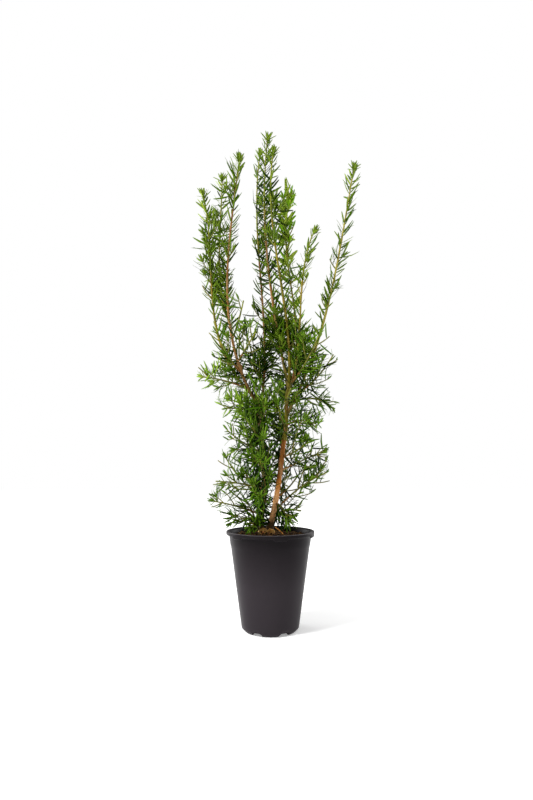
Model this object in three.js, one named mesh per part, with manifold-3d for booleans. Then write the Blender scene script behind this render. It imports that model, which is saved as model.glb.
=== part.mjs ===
// A young yew with upright shoots, growing in a plastic nursery pot, in millimetres with +Z up.
// The origin is the centre of the pot's underside. +X is the right of the front view and +Y is
// its far side. Woody limbs are tapering tubes, and each shoot or side spray is one solid:
// a stem, its twigs and its needles joined together.

import * as THREE from 'three';
import { mergeVertices } from 'three/addons/utils/BufferGeometryUtils.js';
import Module from 'manifold-3d';

const wasm = await Module();
wasm.setup();

// Clearance between solids that lie against each other
const SEAT_GAP = 0.35;
// Space that needles and twigs keep to the pieces of other masses
const SPACE_GAP = 0.4;

// Pot
const POT_SEGMENTS = 36;
const POT_HEIGHT = 184.5;
const WALL = 1.6;
const FLOOR_BOTTOM = 6.8;
const FLOOR_TOP = 8.6;
const FOOT_INNER_RADIUS = 44.5;
const FOOT_OUTER_RADIUS = 48.5;
const FOOT_CHAMFER_HEIGHT = 6;
const WALL_BASE_RADIUS = 53.8;
const WALL_SLOPE = 0.1314;
const COLLAR_HEIGHT = 158;
const COLLAR_STEP = 0.6;
const LIP_BOTTOM = 178;
const LIP_RADIUS = 82.3;
const LIP_ROUND = 1.6;
const TAB_DEPTH = 3.6;
const TAB_ANGLE = 16;
const FIRST_TAB_AZIMUTH = -90 + 12.6;
const NOTCH_ANGLE = 21;
const NOTCH_HEIGHT = 6.6;
const FIRST_NOTCH_AZIMUTH = -90 + 30;
const CENTRE_PAD_RADIUS = 12;
const DRAIN_RADIUS = 4;
const DRAIN_CIRCLE = 36;
const POT_REPEATS = 6;

// Soil
const SOIL_TOP = 176;
const SOIL_FLAT_RADIUS = 26;
const SOIL_EDGE_HEIGHT = 175;
const SOIL_SHOULDER_RADIUS = 60;
const SOIL_SHOULDER_HEIGHT = 175.6;

// Woody limbs below the forks: a cubic curve each, with the radius at its foot and its tip
const GROUND_CUT = SOIL_TOP + 0.3;
const TRUNK_FLARE = 9;
const TRUNK_FLARE_LENGTH = 0.09;
const STEMS = {
  trunk: { path: [[-9, 0, 166], [13, 2, 226], [17, 3, 290], [26, 5, 354]], foot: 5.4, tip: 4.2 },
  bough_right: { path: [[26, 5, 354], [34, 3, 386], [26, 2, 420], [34, 0, 451]], foot: 4.1, tip: 3.5 },
  stem_left: { path: [[-19, 12, 166], [-8, 6, 272], [-8, 7, 357], [-27, 10, 439]], foot: 4.6, tip: 3.2 },
};
const ROOT_SPURS = [
  { azimuth: 200, reach: 15, radius: 4.4 },
  { azimuth: 285, reach: 13, radius: 4.8 },
  { azimuth: 345, reach: 17, radius: 4.2 },
];
const ROOT_SPUR_RISE = 9;

// Upright leaders. Each climbs one cubic curve from its fork to its tip. The lowest part, up to
// the share named bough, is a bare woody bough, and the rest is a shoot with needles.
// Laterals are short side twigs: share of the path, azimuth in degrees, length.
const LEADERS = {
  top: {
    path: [[34, 0, 451], [2, 2, 607], [-23, 3, 758], [-5, 5, 921]],
    foot: 3.0, bough: 0.1, laterals: [[0.42, 250, 34], [0.58, 120, 30], [0.7, 300, 26]],
  },
  front: {
    path: [[34, 0, 451], [46, -13, 597], [-17, -27, 735], [5, -40, 867]],
    foot: 2.9, bough: 0.1, laterals: [[0.45, 330, 36], [0.6, 190, 28], [0.72, 20, 24]],
  },
  far_right: {
    path: [[30, 3, 400], [110, 5, 543], [130, 10, 709], [159, 15, 871]],
    foot: 2.8, bough: 0.14, laterals: [[0.6, 190, 22], [0.44, 205, 22], [0.5, 330, 16]],
  },
  left_front: {
    path: [[-22, 9, 415], [-108, -11, 557], [-77, -29, 698], [-55, -50, 850]],
    foot: 3.0, bough: 0.4, laterals: [[0.91, 290, 22], [0.84, 185, 26], [0.62, 320, 18]],
  },
  mid_left: {
    path: [[-20, 9, 401], [10, 20, 565], [-43, 30, 735], [-20, 40, 910]],
    foot: 2.6, bough: 0.13, laterals: [[0.36, 175, 30], [0.62, 60, 26]],
  },
  far_left: {
    path: [[-25, 10, 430], [-143, -4, 535], [-92, -16, 670], [-122, -30, 797]],
    foot: 2.7, bough: 0.13, laterals: [[0.52, 185, 30], [0.64, 200, 26], [0.72, 250, 24], [0.8, 340, 26]],
  },
  right_back: {
    path: [[32, 1, 438], [84, 15, 567], [6, 30, 691], [38, 45, 833]],
    foot: 2.4, bough: 0.1, laterals: [[0.9, 180, 30], [0.78, 330, 28], [0.66, 90, 26], [0.56, 20, 30]],
  },
  right_front: {
    path: [[32, 1, 438], [70, -18, 533], [39, -37, 637], [77, -55, 720]],
    foot: 2.2, bough: 0.1, laterals: [[0.66, 330, 15], [0.8, 330, 20]],
  },
  left_back: {
    path: [[-73, -11, 563], [-109, -2, 653], [-92, 17, 756], [-93, 35, 860]],
    foot: 2.1, bough: 0, laterals: [[0.35, 160, 24], [0.6, 30, 22]],
  },
};
const LEADER_TIP_RADIUS = 1.2;

// Side sprays that show: limb, height of the root on it, tip, rise of the middle. The tip is where
// the last needles end, and the stem stops short of it.
const PLACED_SPRAYS = [
  ['bough_far_left', 452, [-141, -15, 472], 4],
  ['stem_left', 398, [-92, -42, 410], 6],
  ['stem_left', 330, [-88, -38, 376], -5],
  ['stem_left', 252, [-94, 26, 330], -14],
  ['stem_left', 262, [-111, -28, 279], 3],
  ['stem_left', 212, [-119, -4, 243], 3],
  ['stem_left', 200, [-84, -14, 200], 7],
  ['bough_far_right', 444, [124, -22, 518], -10],
  ['bough_far_right', 425, [132, 22, 414], 12],
  ['bough_right', 380, [93, -44, 372], 12],
  ['trunk', 296, [108, -24, 338], 0],
  ['trunk', 218, [114, -6, 300], 9],
  ['trunk', 246, [74, 34, 316], -8],
  ['trunk', 214, [66, -36, 226], 4],
  ['trunk', 232, [36, -52, 200], 12],
  ['bough_mid_left', 452, [-50, 2, 575], -6],
  ['bough_right', 408, [30, -84, 428], 8],
  ['bough_right_front', 460, [92, -58, 548], -8],
  ['bough_left_front', 478, [-104, -46, 556], -8],
  ['bough_left_front', 540, [-44, -68, 604], -6],
];

// A spray over the pot's rim that finds its room after all others
const LOW_SPRAYS = [
  ['stem_left', 195, [-40, -42, 193], 6],
];

// Side sprays that fill the crown, to the back and the front in turn
const FILL_COUNT = 26;
const FILL_LOW = 216;
const FILL_HIGH = 505;
const FILL_SPREAD = 120;
const FILL_TRIES = 24;
const FILL_TRY_TURN = 17;
const FILL_REACH = 76;
const FILL_REACH_SPREAD = 18;
const FILL_CLIMB = 36;
const CROWN_AXIS = [6, 4];
const STEM_CLEARANCE = 5;

// Twigs and needles
const SPRAY_FOOT_RADIUS = 2.0;
const SPRAY_TIP_RADIUS = 1.1;
const SPRAY_TIP_ROOM = 12;
const TWIG_RADIUS = 1.3;
const TWIG_TIP_RADIUS = 0.9;
const TWIG_SPACING = 30;
const TWIG_ANGLE = 48;
const TWIG_SHARE = 0.46;
const TWIG_PLANE_ROLL = 50;
const SHOOT_CORNERS = [0, 90, 180, 270];
const SHOOT_TURN = 21;
const SHOOT_NEEDLE_STEP = 11;
const SHOOT_NEEDLE_LENGTHS = [30, 24];
const SHOOT_NEEDLE_ANGLES = [66, 41];
const TWIG_CORNERS = [0, 120, 240];
const TWIG_TURN = 17.5;
const TWIG_NEEDLE_STEP = 9;
const TWIG_NEEDLE_LENGTH = 28;
const TWIG_NEEDLE_ANGLES = [68, 48];
const TIP_NEEDLE_LENGTH = 17;
const TIP_NEEDLE_ANGLE = 30;
const NEEDLE_BASE_FROM = 0.12;
const NEEDLE_FREE_FROM = 0.35;
const NEEDLE_SPACE = 2.4;
const NEEDLE_BASE_SPACE = 4;
const BUD_LENGTH = 3;
const THIN_TUBE_FACTOR = 1.15;

// Lowest height that foliage may reach over the soil and over the pot's rim
const FOLIAGE_FLOOR_INSIDE = SOIL_TOP + 1.5;
const FOLIAGE_FLOOR_RIM = POT_HEIGHT + 1;
const RIM_ZONE_RADIUS = 66;

const UP = new THREE.Vector3(0, 0, 1);
const RIGHT = new THREE.Vector3(1, 0, 0);
const radians = THREE.MathUtils.degToRad;
const lerp = THREE.MathUtils.lerp;
const vector = (triple) => new THREE.Vector3(...triple);

// Repeatable chance between 0 and 1 from two whole numbers
function chance(seed, draw) {
  const modulus = 2147483647;
  let state = (seed * 7919 + draw * 104729 + 12345) % modulus;
  state = (state * 16807) % modulus;
  state = (state * 16807) % modulus;
  return state / modulus;
}

// Turns a closed geometry into a solid that can be joined and cut
function toSolid(geometry) {
  const bare = geometry.index ? geometry.clone() : geometry;
  bare.deleteAttribute('normal');
  bare.deleteAttribute('uv');
  const merged = mergeVertices(bare, 1e-5);
  const vertProperties = new Float32Array(merged.attributes.position.array);
  const triVerts = new Uint32Array(merged.index.array);
  return new wasm.Manifold(new wasm.Mesh({ numProp: 3, vertProperties, triVerts }));
}

// Turns a solid back into a geometry
function toGeometry(solid) {
  const mesh = solid.getMesh();
  const geometry = new THREE.BufferGeometry();
  geometry.setAttribute('position', new THREE.BufferAttribute(mesh.vertProperties, 3));
  geometry.setIndex(new THREE.BufferAttribute(mesh.triVerts, 1));
  return geometry;
}

// The largest of the separate bodies in a solid
function largestBody(solid) {
  const bodies = solid.decompose();
  return bodies.reduce((best, body) => (body.volume() > best.volume() ? body : best));
}

// Directions at a share of a curve: along it, to its side, and over it
function frameAt(curve, share, reference, roll = 0) {
  const along = curve.getTangent(share);
  const side = new THREE.Vector3().crossVectors(along, reference).normalize();
  side.applyAxisAngle(along, roll);
  const over = new THREE.Vector3().crossVectors(side, along);
  return { point: curve.getPoint(share), along, side, over };
}

// A tapering tube round a curve: a cylinder whose rings are carried to the curve.
// Its ends are flat, and grow makes it thicker and longer all round.
function tube({ curve, radiusAt, sides, steps, from = 0, to = 1, grow = 0 }) {
  const geometry = new THREE.CylinderGeometry(1, 1, 1, sides, steps);
  const chord = curve.getPoint(to).sub(curve.getPoint(from)).normalize();
  const reference = Math.abs(chord.z) > 0.7 ? RIGHT : UP;
  const position = geometry.attributes.position;
  for (let i = 0; i < position.count; i += 1) {
    const level = position.getY(i) + 0.5;
    const share = lerp(from, to, level);
    const { point, along, side, over } = frameAt(curve, share, reference);
    const ring = new THREE.Vector2(position.getX(i), position.getZ(i));
    ring.setLength(ring.length() > 1e-6 ? radiusAt(share) + grow : 0);
    if (level < 1e-6) point.addScaledVector(along, -grow);
    if (level > 1 - 1e-6) point.addScaledVector(along, grow);
    point.addScaledVector(side, ring.x).addScaledVector(over, ring.y);
    position.setXYZ(i, point.x, point.y, point.z);
  }
  return toSolid(geometry);
}

// A stem and its needles as one closed surface. The stem is a tube whose rings have a few
// corners, and between two rings a corner may be drawn out to a needle's tip. The stem ends
// in a pointed bud.
function needledTube({ curve, radiusAt, from, steps, reference, cornerAngles, turnAt, needleAt }) {
  const vertices = [];
  const triangles = [];
  const addVertex = (point) => vertices.push(point.x, point.y, point.z) / 3 - 1;
  const corners = cornerAngles.length;
  const rings = [];
  for (let i = 0; i <= steps; i += 1) {
    const share = lerp(from, 1, i / steps);
    const { point, along, side } = frameAt(curve, share, reference, turnAt(i));
    const across = new THREE.Vector3().crossVectors(along, side);
    const radius = radiusAt(share) * THIN_TUBE_FACTOR;
    rings.push(cornerAngles.map((angle) => addVertex(
      point.clone()
        .addScaledVector(side, radius * Math.cos(angle))
        .addScaledVector(across, radius * Math.sin(angle)),
    )));
  }
  for (let i = 0; i < steps; i += 1) {
    const tips = cornerAngles.map((_, corner) => needleAt(i, corner));
    const tipVertices = tips.map((tip) => (tip ? addVertex(tip) : null));
    for (let corner = 0; corner < corners; corner += 1) {
      const next = (corner + 1) % corners;
      const [a, b] = [rings[i][corner], rings[i][next]];
      const [c, d] = [rings[i + 1][corner], rings[i + 1][next]];
      const [t, s] = [tipVertices[corner], tipVertices[next]];
      if (t !== null && s !== null) triangles.push(t, a, b, t, b, c, s, d, c, s, c, b);
      else if (t !== null) triangles.push(t, a, b, t, b, d, t, d, c);
      else if (s !== null) triangles.push(s, d, c, s, c, a, s, a, b);
      else triangles.push(a, b, d, a, d, c);
    }
  }
  const bud = curve.getPoint(1).addScaledVector(curve.getTangent(1), BUD_LENGTH);
  const budVertex = addVertex(bud);
  for (let corner = 0; corner < corners; corner += 1) {
    triangles.push(rings[steps][corner], rings[steps][(corner + 1) % corners], budVertex);
    if (corner > 1) triangles.push(rings[0][0], rings[0][corner], rings[0][corner - 1]);
  }
  const geometry = new THREE.BufferGeometry();
  geometry.setAttribute('position', new THREE.Float32BufferAttribute(vertices, 3));
  geometry.setIndex(triangles);
  return toSolid(geometry);
}

// Capsules of everything placed so far, by owner, for the test that keeps masses apart
const placed = [];

function keepsClear(start, end, radius, owner, exceptLimb, extra = SPACE_GAP) {
  const line = new THREE.Line3(start, end);
  for (const other of placed) {
    if (other.owner === owner || other.owner === exceptLimb) continue;
    const needed = radius + other.radius + extra;
    if (line.distanceSqToLine3(other.line) < needed * needed) return false;
  }
  return true;
}

// A needle also keeps clear of the other twigs and needles of its own mass
function keepsClearOfOwn(start, end, radius, mass, piece) {
  const line = new THREE.Line3(start, end);
  for (const other of placed) {
    if (other.owner !== mass.name || other.curve === piece.curve) continue;
    const needed = radius + other.radius;
    if (line.distanceSqToLine3(other.line) < needed * needed) return false;
  }
  return true;
}

function aboveThePot(point, radius) {
  const overRim = Math.hypot(point.x, point.y) > RIM_ZONE_RADIUS;
  return point.z - radius > (overRim ? FOLIAGE_FLOOR_RIM : FOLIAGE_FLOOR_INSIDE);
}

function curveIsClear(piece, owner, exceptLimb, extra) {
  const points = piece.curve.getPoints(piece.steps);
  for (let i = 0; i < piece.steps; i += 1) {
    if (!keepsClear(points[i], points[i + 1], piece.foot, owner, exceptLimb, extra)) return false;
    if (!aboveThePot(points[i + 1], piece.foot)) return false;
  }
  return true;
}

function registerCurve(owner, curve, radiusAt, steps, from = 0, to = 1) {
  for (let i = 0; i < steps; i += 1) {
    const a = lerp(from, to, i / steps);
    const b = lerp(from, to, (i + 1) / steps);
    const line = new THREE.Line3(curve.getPoint(a), curve.getPoint(b));
    placed.push({ owner, curve, line, radius: radiusAt(a) });
  }
}

const cubic = (path) => new THREE.CubicBezierCurve3(...path.map(vector));

function taper(foot, tip) {
  return (share) => lerp(foot, tip, share);
}

// Share of a curve at which it passes a height
function shareAtHeight(curve, height) {
  let low = 0;
  let high = 1;
  for (let i = 0; i < 40; i += 1) {
    const middle = (low + high) / 2;
    if (curve.getPoint(middle).z < height) low = middle;
    else high = middle;
  }
  return (low + high) / 2;
}

// Pot: a lathed shell with a stepped collar and a rolled lip, six lip tabs, six feet,
// a centre pad level with the feet, and drain holes
const wallRadius = (height) => WALL_BASE_RADIUS + (height - FOOT_CHAMFER_HEIGHT) * WALL_SLOPE;

function lathe(profile) {
  const points = profile.map(([radius, height]) => new THREE.Vector2(radius, height));
  return toSolid(new THREE.LatheGeometry(points, POT_SEGMENTS).rotateX(Math.PI / 2));
}

// A block that fills a sector of a ring, between two radii and two heights
function ringSector(inner, outer, azimuth, angle, low, high) {
  const start = radians(azimuth - angle / 2);
  const end = radians(azimuth + angle / 2);
  const shape = new THREE.Shape();
  shape.absarc(0, 0, outer, start, end, false);
  shape.absarc(0, 0, inner, end, start, true);
  shape.closePath();
  const options = { depth: high - low, bevelEnabled: false, curveSegments: 2 };
  return toSolid(new THREE.ExtrudeGeometry(shape, options).translate(0, 0, low));
}

function disc(radius, low, high, x = 0, y = 0, sides = 12) {
  const geometry = new THREE.CylinderGeometry(radius, radius, high - low, sides);
  return toSolid(geometry.rotateX(Math.PI / 2).translate(x, y, (low + high) / 2));
}

function makePot() {
  const collarTop = LIP_BOTTOM - 1.5;
  let pot = lathe([
    [0, FLOOR_BOTTOM],
    [FOOT_INNER_RADIUS, FLOOR_BOTTOM],
    [FOOT_INNER_RADIUS, 0],
    [FOOT_OUTER_RADIUS, 0],
    [WALL_BASE_RADIUS, FOOT_CHAMFER_HEIGHT],
    [wallRadius(COLLAR_HEIGHT), COLLAR_HEIGHT],
    [wallRadius(COLLAR_HEIGHT) + COLLAR_STEP, COLLAR_HEIGHT + COLLAR_STEP],
    [wallRadius(collarTop) + COLLAR_STEP, collarTop],
    [LIP_RADIUS - LIP_ROUND, LIP_BOTTOM],
    [LIP_RADIUS, LIP_BOTTOM + LIP_ROUND],
    [LIP_RADIUS, POT_HEIGHT - LIP_ROUND],
    [LIP_RADIUS - LIP_ROUND, POT_HEIGHT],
    [wallRadius(POT_HEIGHT) + LIP_ROUND - WALL, POT_HEIGHT],
    [wallRadius(POT_HEIGHT) - WALL, POT_HEIGHT - LIP_ROUND],
    [wallRadius(FLOOR_TOP) - WALL, FLOOR_TOP],
    [0, FLOOR_TOP],
  ]);
  pot = pot.add(disc(CENTRE_PAD_RADIUS, 0, FLOOR_BOTTOM + 1, 0, 0, 24));
  for (let i = 0; i < POT_REPEATS; i += 1) {
    const turn = (i * 360) / POT_REPEATS;
    const tabAzimuth = FIRST_TAB_AZIMUTH + turn;
    const tabInner = wallRadius(LIP_BOTTOM) - WALL / 2;
    const tabLow = LIP_BOTTOM - TAB_DEPTH;
    const tabOuter = LIP_RADIUS - 0.4;
    pot = pot.add(ringSector(tabInner, tabOuter, tabAzimuth, TAB_ANGLE, tabLow, LIP_BOTTOM + 2));
    const notchAzimuth = FIRST_NOTCH_AZIMUTH + turn;
    pot = pot.subtract(ringSector(40, 60, notchAzimuth, NOTCH_ANGLE, -1, NOTCH_HEIGHT));
    const drainX = DRAIN_CIRCLE * Math.cos(radians(notchAzimuth));
    const drainY = DRAIN_CIRCLE * Math.sin(radians(notchAzimuth));
    pot = pot.subtract(disc(DRAIN_RADIUS, FLOOR_BOTTOM - 1, FLOOR_TOP + 1, drainX, drainY));
  }
  return pot;
}

function makeSoil() {
  const inside = (height) => wallRadius(height) - WALL - SEAT_GAP;
  const bottom = FLOOR_TOP + SEAT_GAP;
  return lathe([
    [0, bottom],
    [inside(bottom), bottom],
    [inside(SOIL_EDGE_HEIGHT), SOIL_EDGE_HEIGHT],
    [SOIL_SHOULDER_RADIUS, SOIL_SHOULDER_HEIGHT],
    [SOIL_FLAT_RADIUS, SOIL_TOP],
    [0, SOIL_TOP],
  ]);
}

// Limbs are made one after another, each cut clear of those before it
const limbs = new Map();
const limbSolids = new Map();
const limbClearances = [];

function makeLimb(name, { curve, radiusAt, sides, steps, to = 1 }) {
  limbs.set(name, curve);
  registerCurve(name, curve, radiusAt, steps, 0, to);
  const shape = { curve, radiusAt, sides, steps, to };
  let solid = tube(shape);
  if (name === 'trunk') solid = addRootSpurs(solid, curve);
  if (curve.getPoint(0).z < GROUND_CUT) solid = cutAtGround(solid);
  if (limbClearances.length > 0) {
    solid = largestBody(solid.subtract(wasm.Manifold.union(limbClearances)));
  }
  limbSolids.set(name, solid);
  limbClearances.push(tube({ ...shape, grow: SEAT_GAP * 1.15 }));
}

function cutAtGround(solid) {
  const depth = 80;
  const block = new THREE.BoxGeometry(300, 300, depth).translate(0, 0, GROUND_CUT - depth / 2);
  return solid.subtract(toSolid(block));
}

// Short root spurs run out from the trunk's foot along the soil
function addRootSpurs(trunk, curve) {
  const heart = curve.getPoint(shareAtHeight(curve, GROUND_CUT));
  let solid = trunk;
  for (const { azimuth, reach, radius } of ROOT_SPURS) {
    const outward = new THREE.Vector3(Math.cos(radians(azimuth)), Math.sin(radians(azimuth)), 0);
    const end = heart.clone().addScaledVector(outward, reach);
    const start = heart.clone().addScaledVector(UP, ROOT_SPUR_RISE);
    const middle = start.clone().lerp(end, 0.5).addScaledVector(UP, ROOT_SPUR_RISE / 4);
    const spur = new THREE.QuadraticBezierCurve3(start, middle, end);
    solid = solid.add(tube({ curve: spur, radiusAt: taper(radius, radius / 3), sides: 6, steps: 3 }));
  }
  return solid;
}

function makeWoodyLimbs() {
  for (const [name, { path, foot, tip }] of Object.entries(STEMS)) {
    const straight = taper(foot, tip);
    const flared = (share) => straight(share) + TRUNK_FLARE * Math.exp(-share / TRUNK_FLARE_LENGTH);
    const radiusAt = name === 'trunk' ? flared : straight;
    makeLimb(name, { curve: cubic(path), radiusAt, sides: 8, steps: 7 });
  }
  for (const [name, leader] of Object.entries(LEADERS)) {
    leader.curve = cubic(leader.path);
    leader.radiusAt = taper(leader.foot, LEADER_TIP_RADIUS);
    if (leader.bough === 0) continue;
    const { curve, radiusAt, bough } = leader;
    makeLimb(`bough_${name}`, { curve, radiusAt, sides: 6, steps: 5, to: bough });
  }
}

// A mass is a list of pieces: its stem first, then its twigs
const masses = [];

function makePiece(curve, foot, tip, steps, from = 0) {
  return { curve, foot, tip, steps, from, radiusAt: taper(foot, tip) };
}

function addMass(name, piece, settings) {
  const mass = { name, seed: masses.length + 1, pieces: [piece], ...settings };
  masses.push(mass);
  registerCurve(name, piece.curve, piece.radiusAt, piece.steps, piece.from, 1);
  return mass;
}

function addShootStems() {
  for (const [name, leader] of Object.entries(LEADERS)) {
    const piece = makePiece(leader.curve, leader.foot, LEADER_TIP_RADIUS, 9, leader.bough);
    addMass(`shoot_${name}`, piece, { leader, limb: `bough_${name}` });
  }
}

function sprayCurve(root, tip, rise) {
  const middle = root.clone().lerp(tip, 0.5).addScaledVector(UP, 2 * rise);
  return new THREE.QuadraticBezierCurve3(root, middle, tip);
}

function addSprays(list) {
  for (const [limb, height, tip, rise] of list) {
    const limbCurve = limbs.get(limb);
    const root = limbCurve.getPoint(shareAtHeight(limbCurve, height));
    const stemTip = vector(tip);
    stemTip.addScaledVector(root.clone().sub(stemTip).normalize(), SPRAY_TIP_ROOM);
    const piece = makePiece(sprayCurve(root, stemTip, rise), SPRAY_FOOT_RADIUS, SPRAY_TIP_RADIUS, 4);
    addMass(`spray_${masses.length + 1}`, piece, { limb });
  }
}

// The limb that carries a filling spray, by its height and the side it faces
function limbForFill(height, facesLeft) {
  if (facesLeft) return height < 425 ? 'stem_left' : 'bough_left_front';
  if (height < 345) return 'trunk';
  return height < 435 ? 'bough_right' : 'bough_right_back';
}

function addFillSprays() {
  for (let i = 0; i < FILL_COUNT; i += 1) {
    const height = lerp(FILL_LOW, FILL_HIGH, (i + 0.5) / FILL_COUNT);
    for (let attempt = 0; attempt < FILL_TRIES; attempt += 1) {
      const facing = (i % 2 === 0 ? 90 : 270) + FILL_SPREAD * (chance(i, 4) - 0.5);
      const azimuth = radians(facing + attempt * FILL_TRY_TURN * (attempt % 2 === 0 ? 1 : -1));
      const limb = limbForFill(height, Math.cos(azimuth) < 0);
      const limbCurve = limbs.get(limb);
      const root = limbCurve.getPoint(shareAtHeight(limbCurve, height));
      const reach = FILL_REACH + FILL_REACH_SPREAD * (chance(i, 1) - 0.5);
      const tip = new THREE.Vector3(
        CROWN_AXIS[0] + reach * Math.cos(azimuth),
        CROWN_AXIS[1] + reach * Math.sin(azimuth),
        height + FILL_CLIMB * (0.4 + chance(i, 2)),
      );
      const curve = sprayCurve(root, tip, 8 * (chance(i, 3) - 0.5));
      const piece = makePiece(curve, SPRAY_FOOT_RADIUS, SPRAY_TIP_RADIUS, 4);
      if (!curveIsClear(piece, null, limb, STEM_CLEARANCE)) continue;
      addMass(`spray_${masses.length + 1}`, piece, { limb });
      break;
    }
  }
}

// Twigs leave a spray's stem to alternate sides, and a leader's laterals leave at their azimuths
function tryTwig(mass, stem, share, direction, length) {
  const root = stem.curve.getPoint(share);
  const along = stem.curve.getTangent(share);
  const middle = root.clone().addScaledVector(direction, length * 0.5);
  const tip = root.clone().addScaledVector(direction, length * 0.82);
  tip.addScaledVector(along, length * 0.24).addScaledVector(UP, length * 0.06);
  const curve = new THREE.QuadraticBezierCurve3(root, middle, tip);
  const piece = makePiece(curve, TWIG_RADIUS, TWIG_TIP_RADIUS, 2);
  if (!curveIsClear(piece, mass.name, null, SPACE_GAP)) return;
  mass.pieces.push(piece);
  registerCurve(mass.name, curve, piece.radiusAt, piece.steps);
}

function addTwigs(mass) {
  const [stem] = mass.pieces;
  if (mass.leader) {
    for (const [share, azimuth, length] of mass.leader.laterals) {
      const outward = new THREE.Vector3(Math.cos(radians(azimuth)), Math.sin(radians(azimuth)), 0.9);
      tryTwig(mass, stem, share, outward.normalize(), length);
    }
    return;
  }
  const stemLength = stem.curve.getLength();
  const count = Math.floor(stemLength / TWIG_SPACING);
  for (let i = 0; i < count; i += 1) {
    const share = lerp(0.3, 0.82, count > 1 ? i / (count - 1) : 0.5);
    const roll = radians(TWIG_PLANE_ROLL * (mass.seed % 2 === 0 ? 1 : -1) * (0.5 + chance(mass.seed, 10)));
    const { along, side } = frameAt(stem.curve, share, UP, roll);
    const hand = (i + mass.seed) % 2 === 0 ? 1 : -1;
    const angle = radians(TWIG_ANGLE + 16 * (chance(mass.seed, 20 + i) - 0.5));
    const direction = along.multiplyScalar(Math.cos(angle)).addScaledVector(side, hand * Math.sin(angle));
    const length = stemLength * TWIG_SHARE * (1 - 0.5 * share) * (0.85 + 0.3 * chance(mass.seed, 40 + i));
    tryTwig(mass, stem, share, direction, length);
  }
}

// The tip of a needle that leaves a stem at a share of its curve, or null where it would touch
// something or reach down to the pot
function needleTip(mass, piece, share, direction, length) {
  const root = piece.curve.getPoint(share);
  const tip = root.clone().addScaledVector(direction, length);
  const base = root.clone().addScaledVector(direction, length * NEEDLE_BASE_FROM);
  const free = root.clone().addScaledVector(direction, length * NEEDLE_FREE_FROM);
  if (!keepsClear(free, tip, NEEDLE_SPACE, mass.name, null)) return null;
  if (!keepsClear(base, free, NEEDLE_BASE_SPACE, mass.name, null)) return null;
  if (!keepsClearOfOwn(free, tip, NEEDLE_SPACE, mass, piece)) return null;
  if (!aboveThePot(tip, NEEDLE_SPACE) || !aboveThePot(free, NEEDLE_SPACE)) return null;
  const { curve } = piece;
  const owner = mass.name;
  placed.push({ owner, curve, line: new THREE.Line3(free, tip), radius: NEEDLE_SPACE });
  placed.push({ owner, curve, line: new THREE.Line3(base, free), radius: NEEDLE_BASE_SPACE });
  return tip;
}

function leaning(along, side, angle) {
  return along.clone().multiplyScalar(Math.cos(angle)).addScaledVector(side, Math.sin(angle));
}

// An upright shoot: four corners that turn as they climb, drawn out by twos in turn, with all
// four round the tip
function makeShoot(mass, piece) {
  const reach = piece.curve.getLength() * (1 - piece.from);
  const steps = Math.round(reach / SHOOT_NEEDLE_STEP);
  const turnAt = (i) => radians(i * SHOOT_TURN);
  const needleAt = (i, corner) => {
    const last = i === steps - 1;
    if (!last && (i + corner) % 2 === 1) return null;
    const level = (i + 0.5) / steps;
    const share = lerp(piece.from, 1, level);
    const turn = turnAt(i + 0.5) + radians(SHOOT_CORNERS[corner]);
    const { along, side } = frameAt(piece.curve, share, RIGHT, turn);
    const angle = last ? TIP_NEEDLE_ANGLE : lerp(...SHOOT_NEEDLE_ANGLES, level);
    const length = last ? TIP_NEEDLE_LENGTH : lerp(...SHOOT_NEEDLE_LENGTHS, level);
    return needleTip(mass, piece, share, leaning(along, side, radians(angle)), length);
  };
  const cornerAngles = SHOOT_CORNERS.map(radians);
  return needledTube({ ...piece, steps, reference: RIGHT, cornerAngles, turnAt, needleAt });
}

// A side twig: three corners that turn as they run out, drawn out one by one, with all three
// round the tip
function makeTwig(mass, piece) {
  const steps = Math.max(2, Math.round(piece.curve.getLength() / TWIG_NEEDLE_STEP));
  const turnAt = (i) => radians(i * TWIG_TURN + 90 * mass.seed);
  const needleAt = (i, corner) => {
    const last = i === steps - 1;
    if (i === 0 || (!last && (i + corner) % 3 !== 0)) return null;
    const level = (i + 0.5) / steps;
    const { along, side } = frameAt(piece.curve, level, UP, turnAt(i + 0.5) + radians(TWIG_CORNERS[corner]));
    const angle = radians(last ? TIP_NEEDLE_ANGLE : lerp(...TWIG_NEEDLE_ANGLES, level));
    const length = last ? TIP_NEEDLE_LENGTH : TWIG_NEEDLE_LENGTH;
    return needleTip(mass, piece, level, leaning(along, side, angle), length);
  };
  const cornerAngles = TWIG_CORNERS.map(radians);
  return needledTube({ ...piece, steps, reference: UP, cornerAngles, turnAt, needleAt });
}

function makeMass(mass, clearance) {
  const parts = mass.pieces.map((piece, index) => (
    mass.leader && index === 0 ? makeShoot(mass, piece) : makeTwig(mass, piece)
  ));
  return largestBody(wasm.Manifold.union(parts).subtract(clearance));
}

// Materials
const finish = (color, roughness) => new THREE.MeshStandardMaterial({ color, roughness, metalness: 0 });
const potPlastic = finish(0x232225, 0.5);
const soilBrown = finish(0x3a2a20, 0.95);
const trunkBark = finish(0xa8683c, 0.8);
const boughBark = finish(0x8a6a34, 0.75);
const shootGreen = finish(0x55812f, 0.55);
const sprayGreen = finish(0x3f7030, 0.55);

// The whole plant
const plant = new THREE.Group();

function addMesh(name, solid, material) {
  const mesh = new THREE.Mesh(toGeometry(solid), material);
  mesh.name = name;
  plant.add(mesh);
}

makeWoodyLimbs();
addShootStems();
addSprays(PLACED_SPRAYS);
addFillSprays();
addSprays(LOW_SPRAYS);
masses.forEach(addTwigs);

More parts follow.
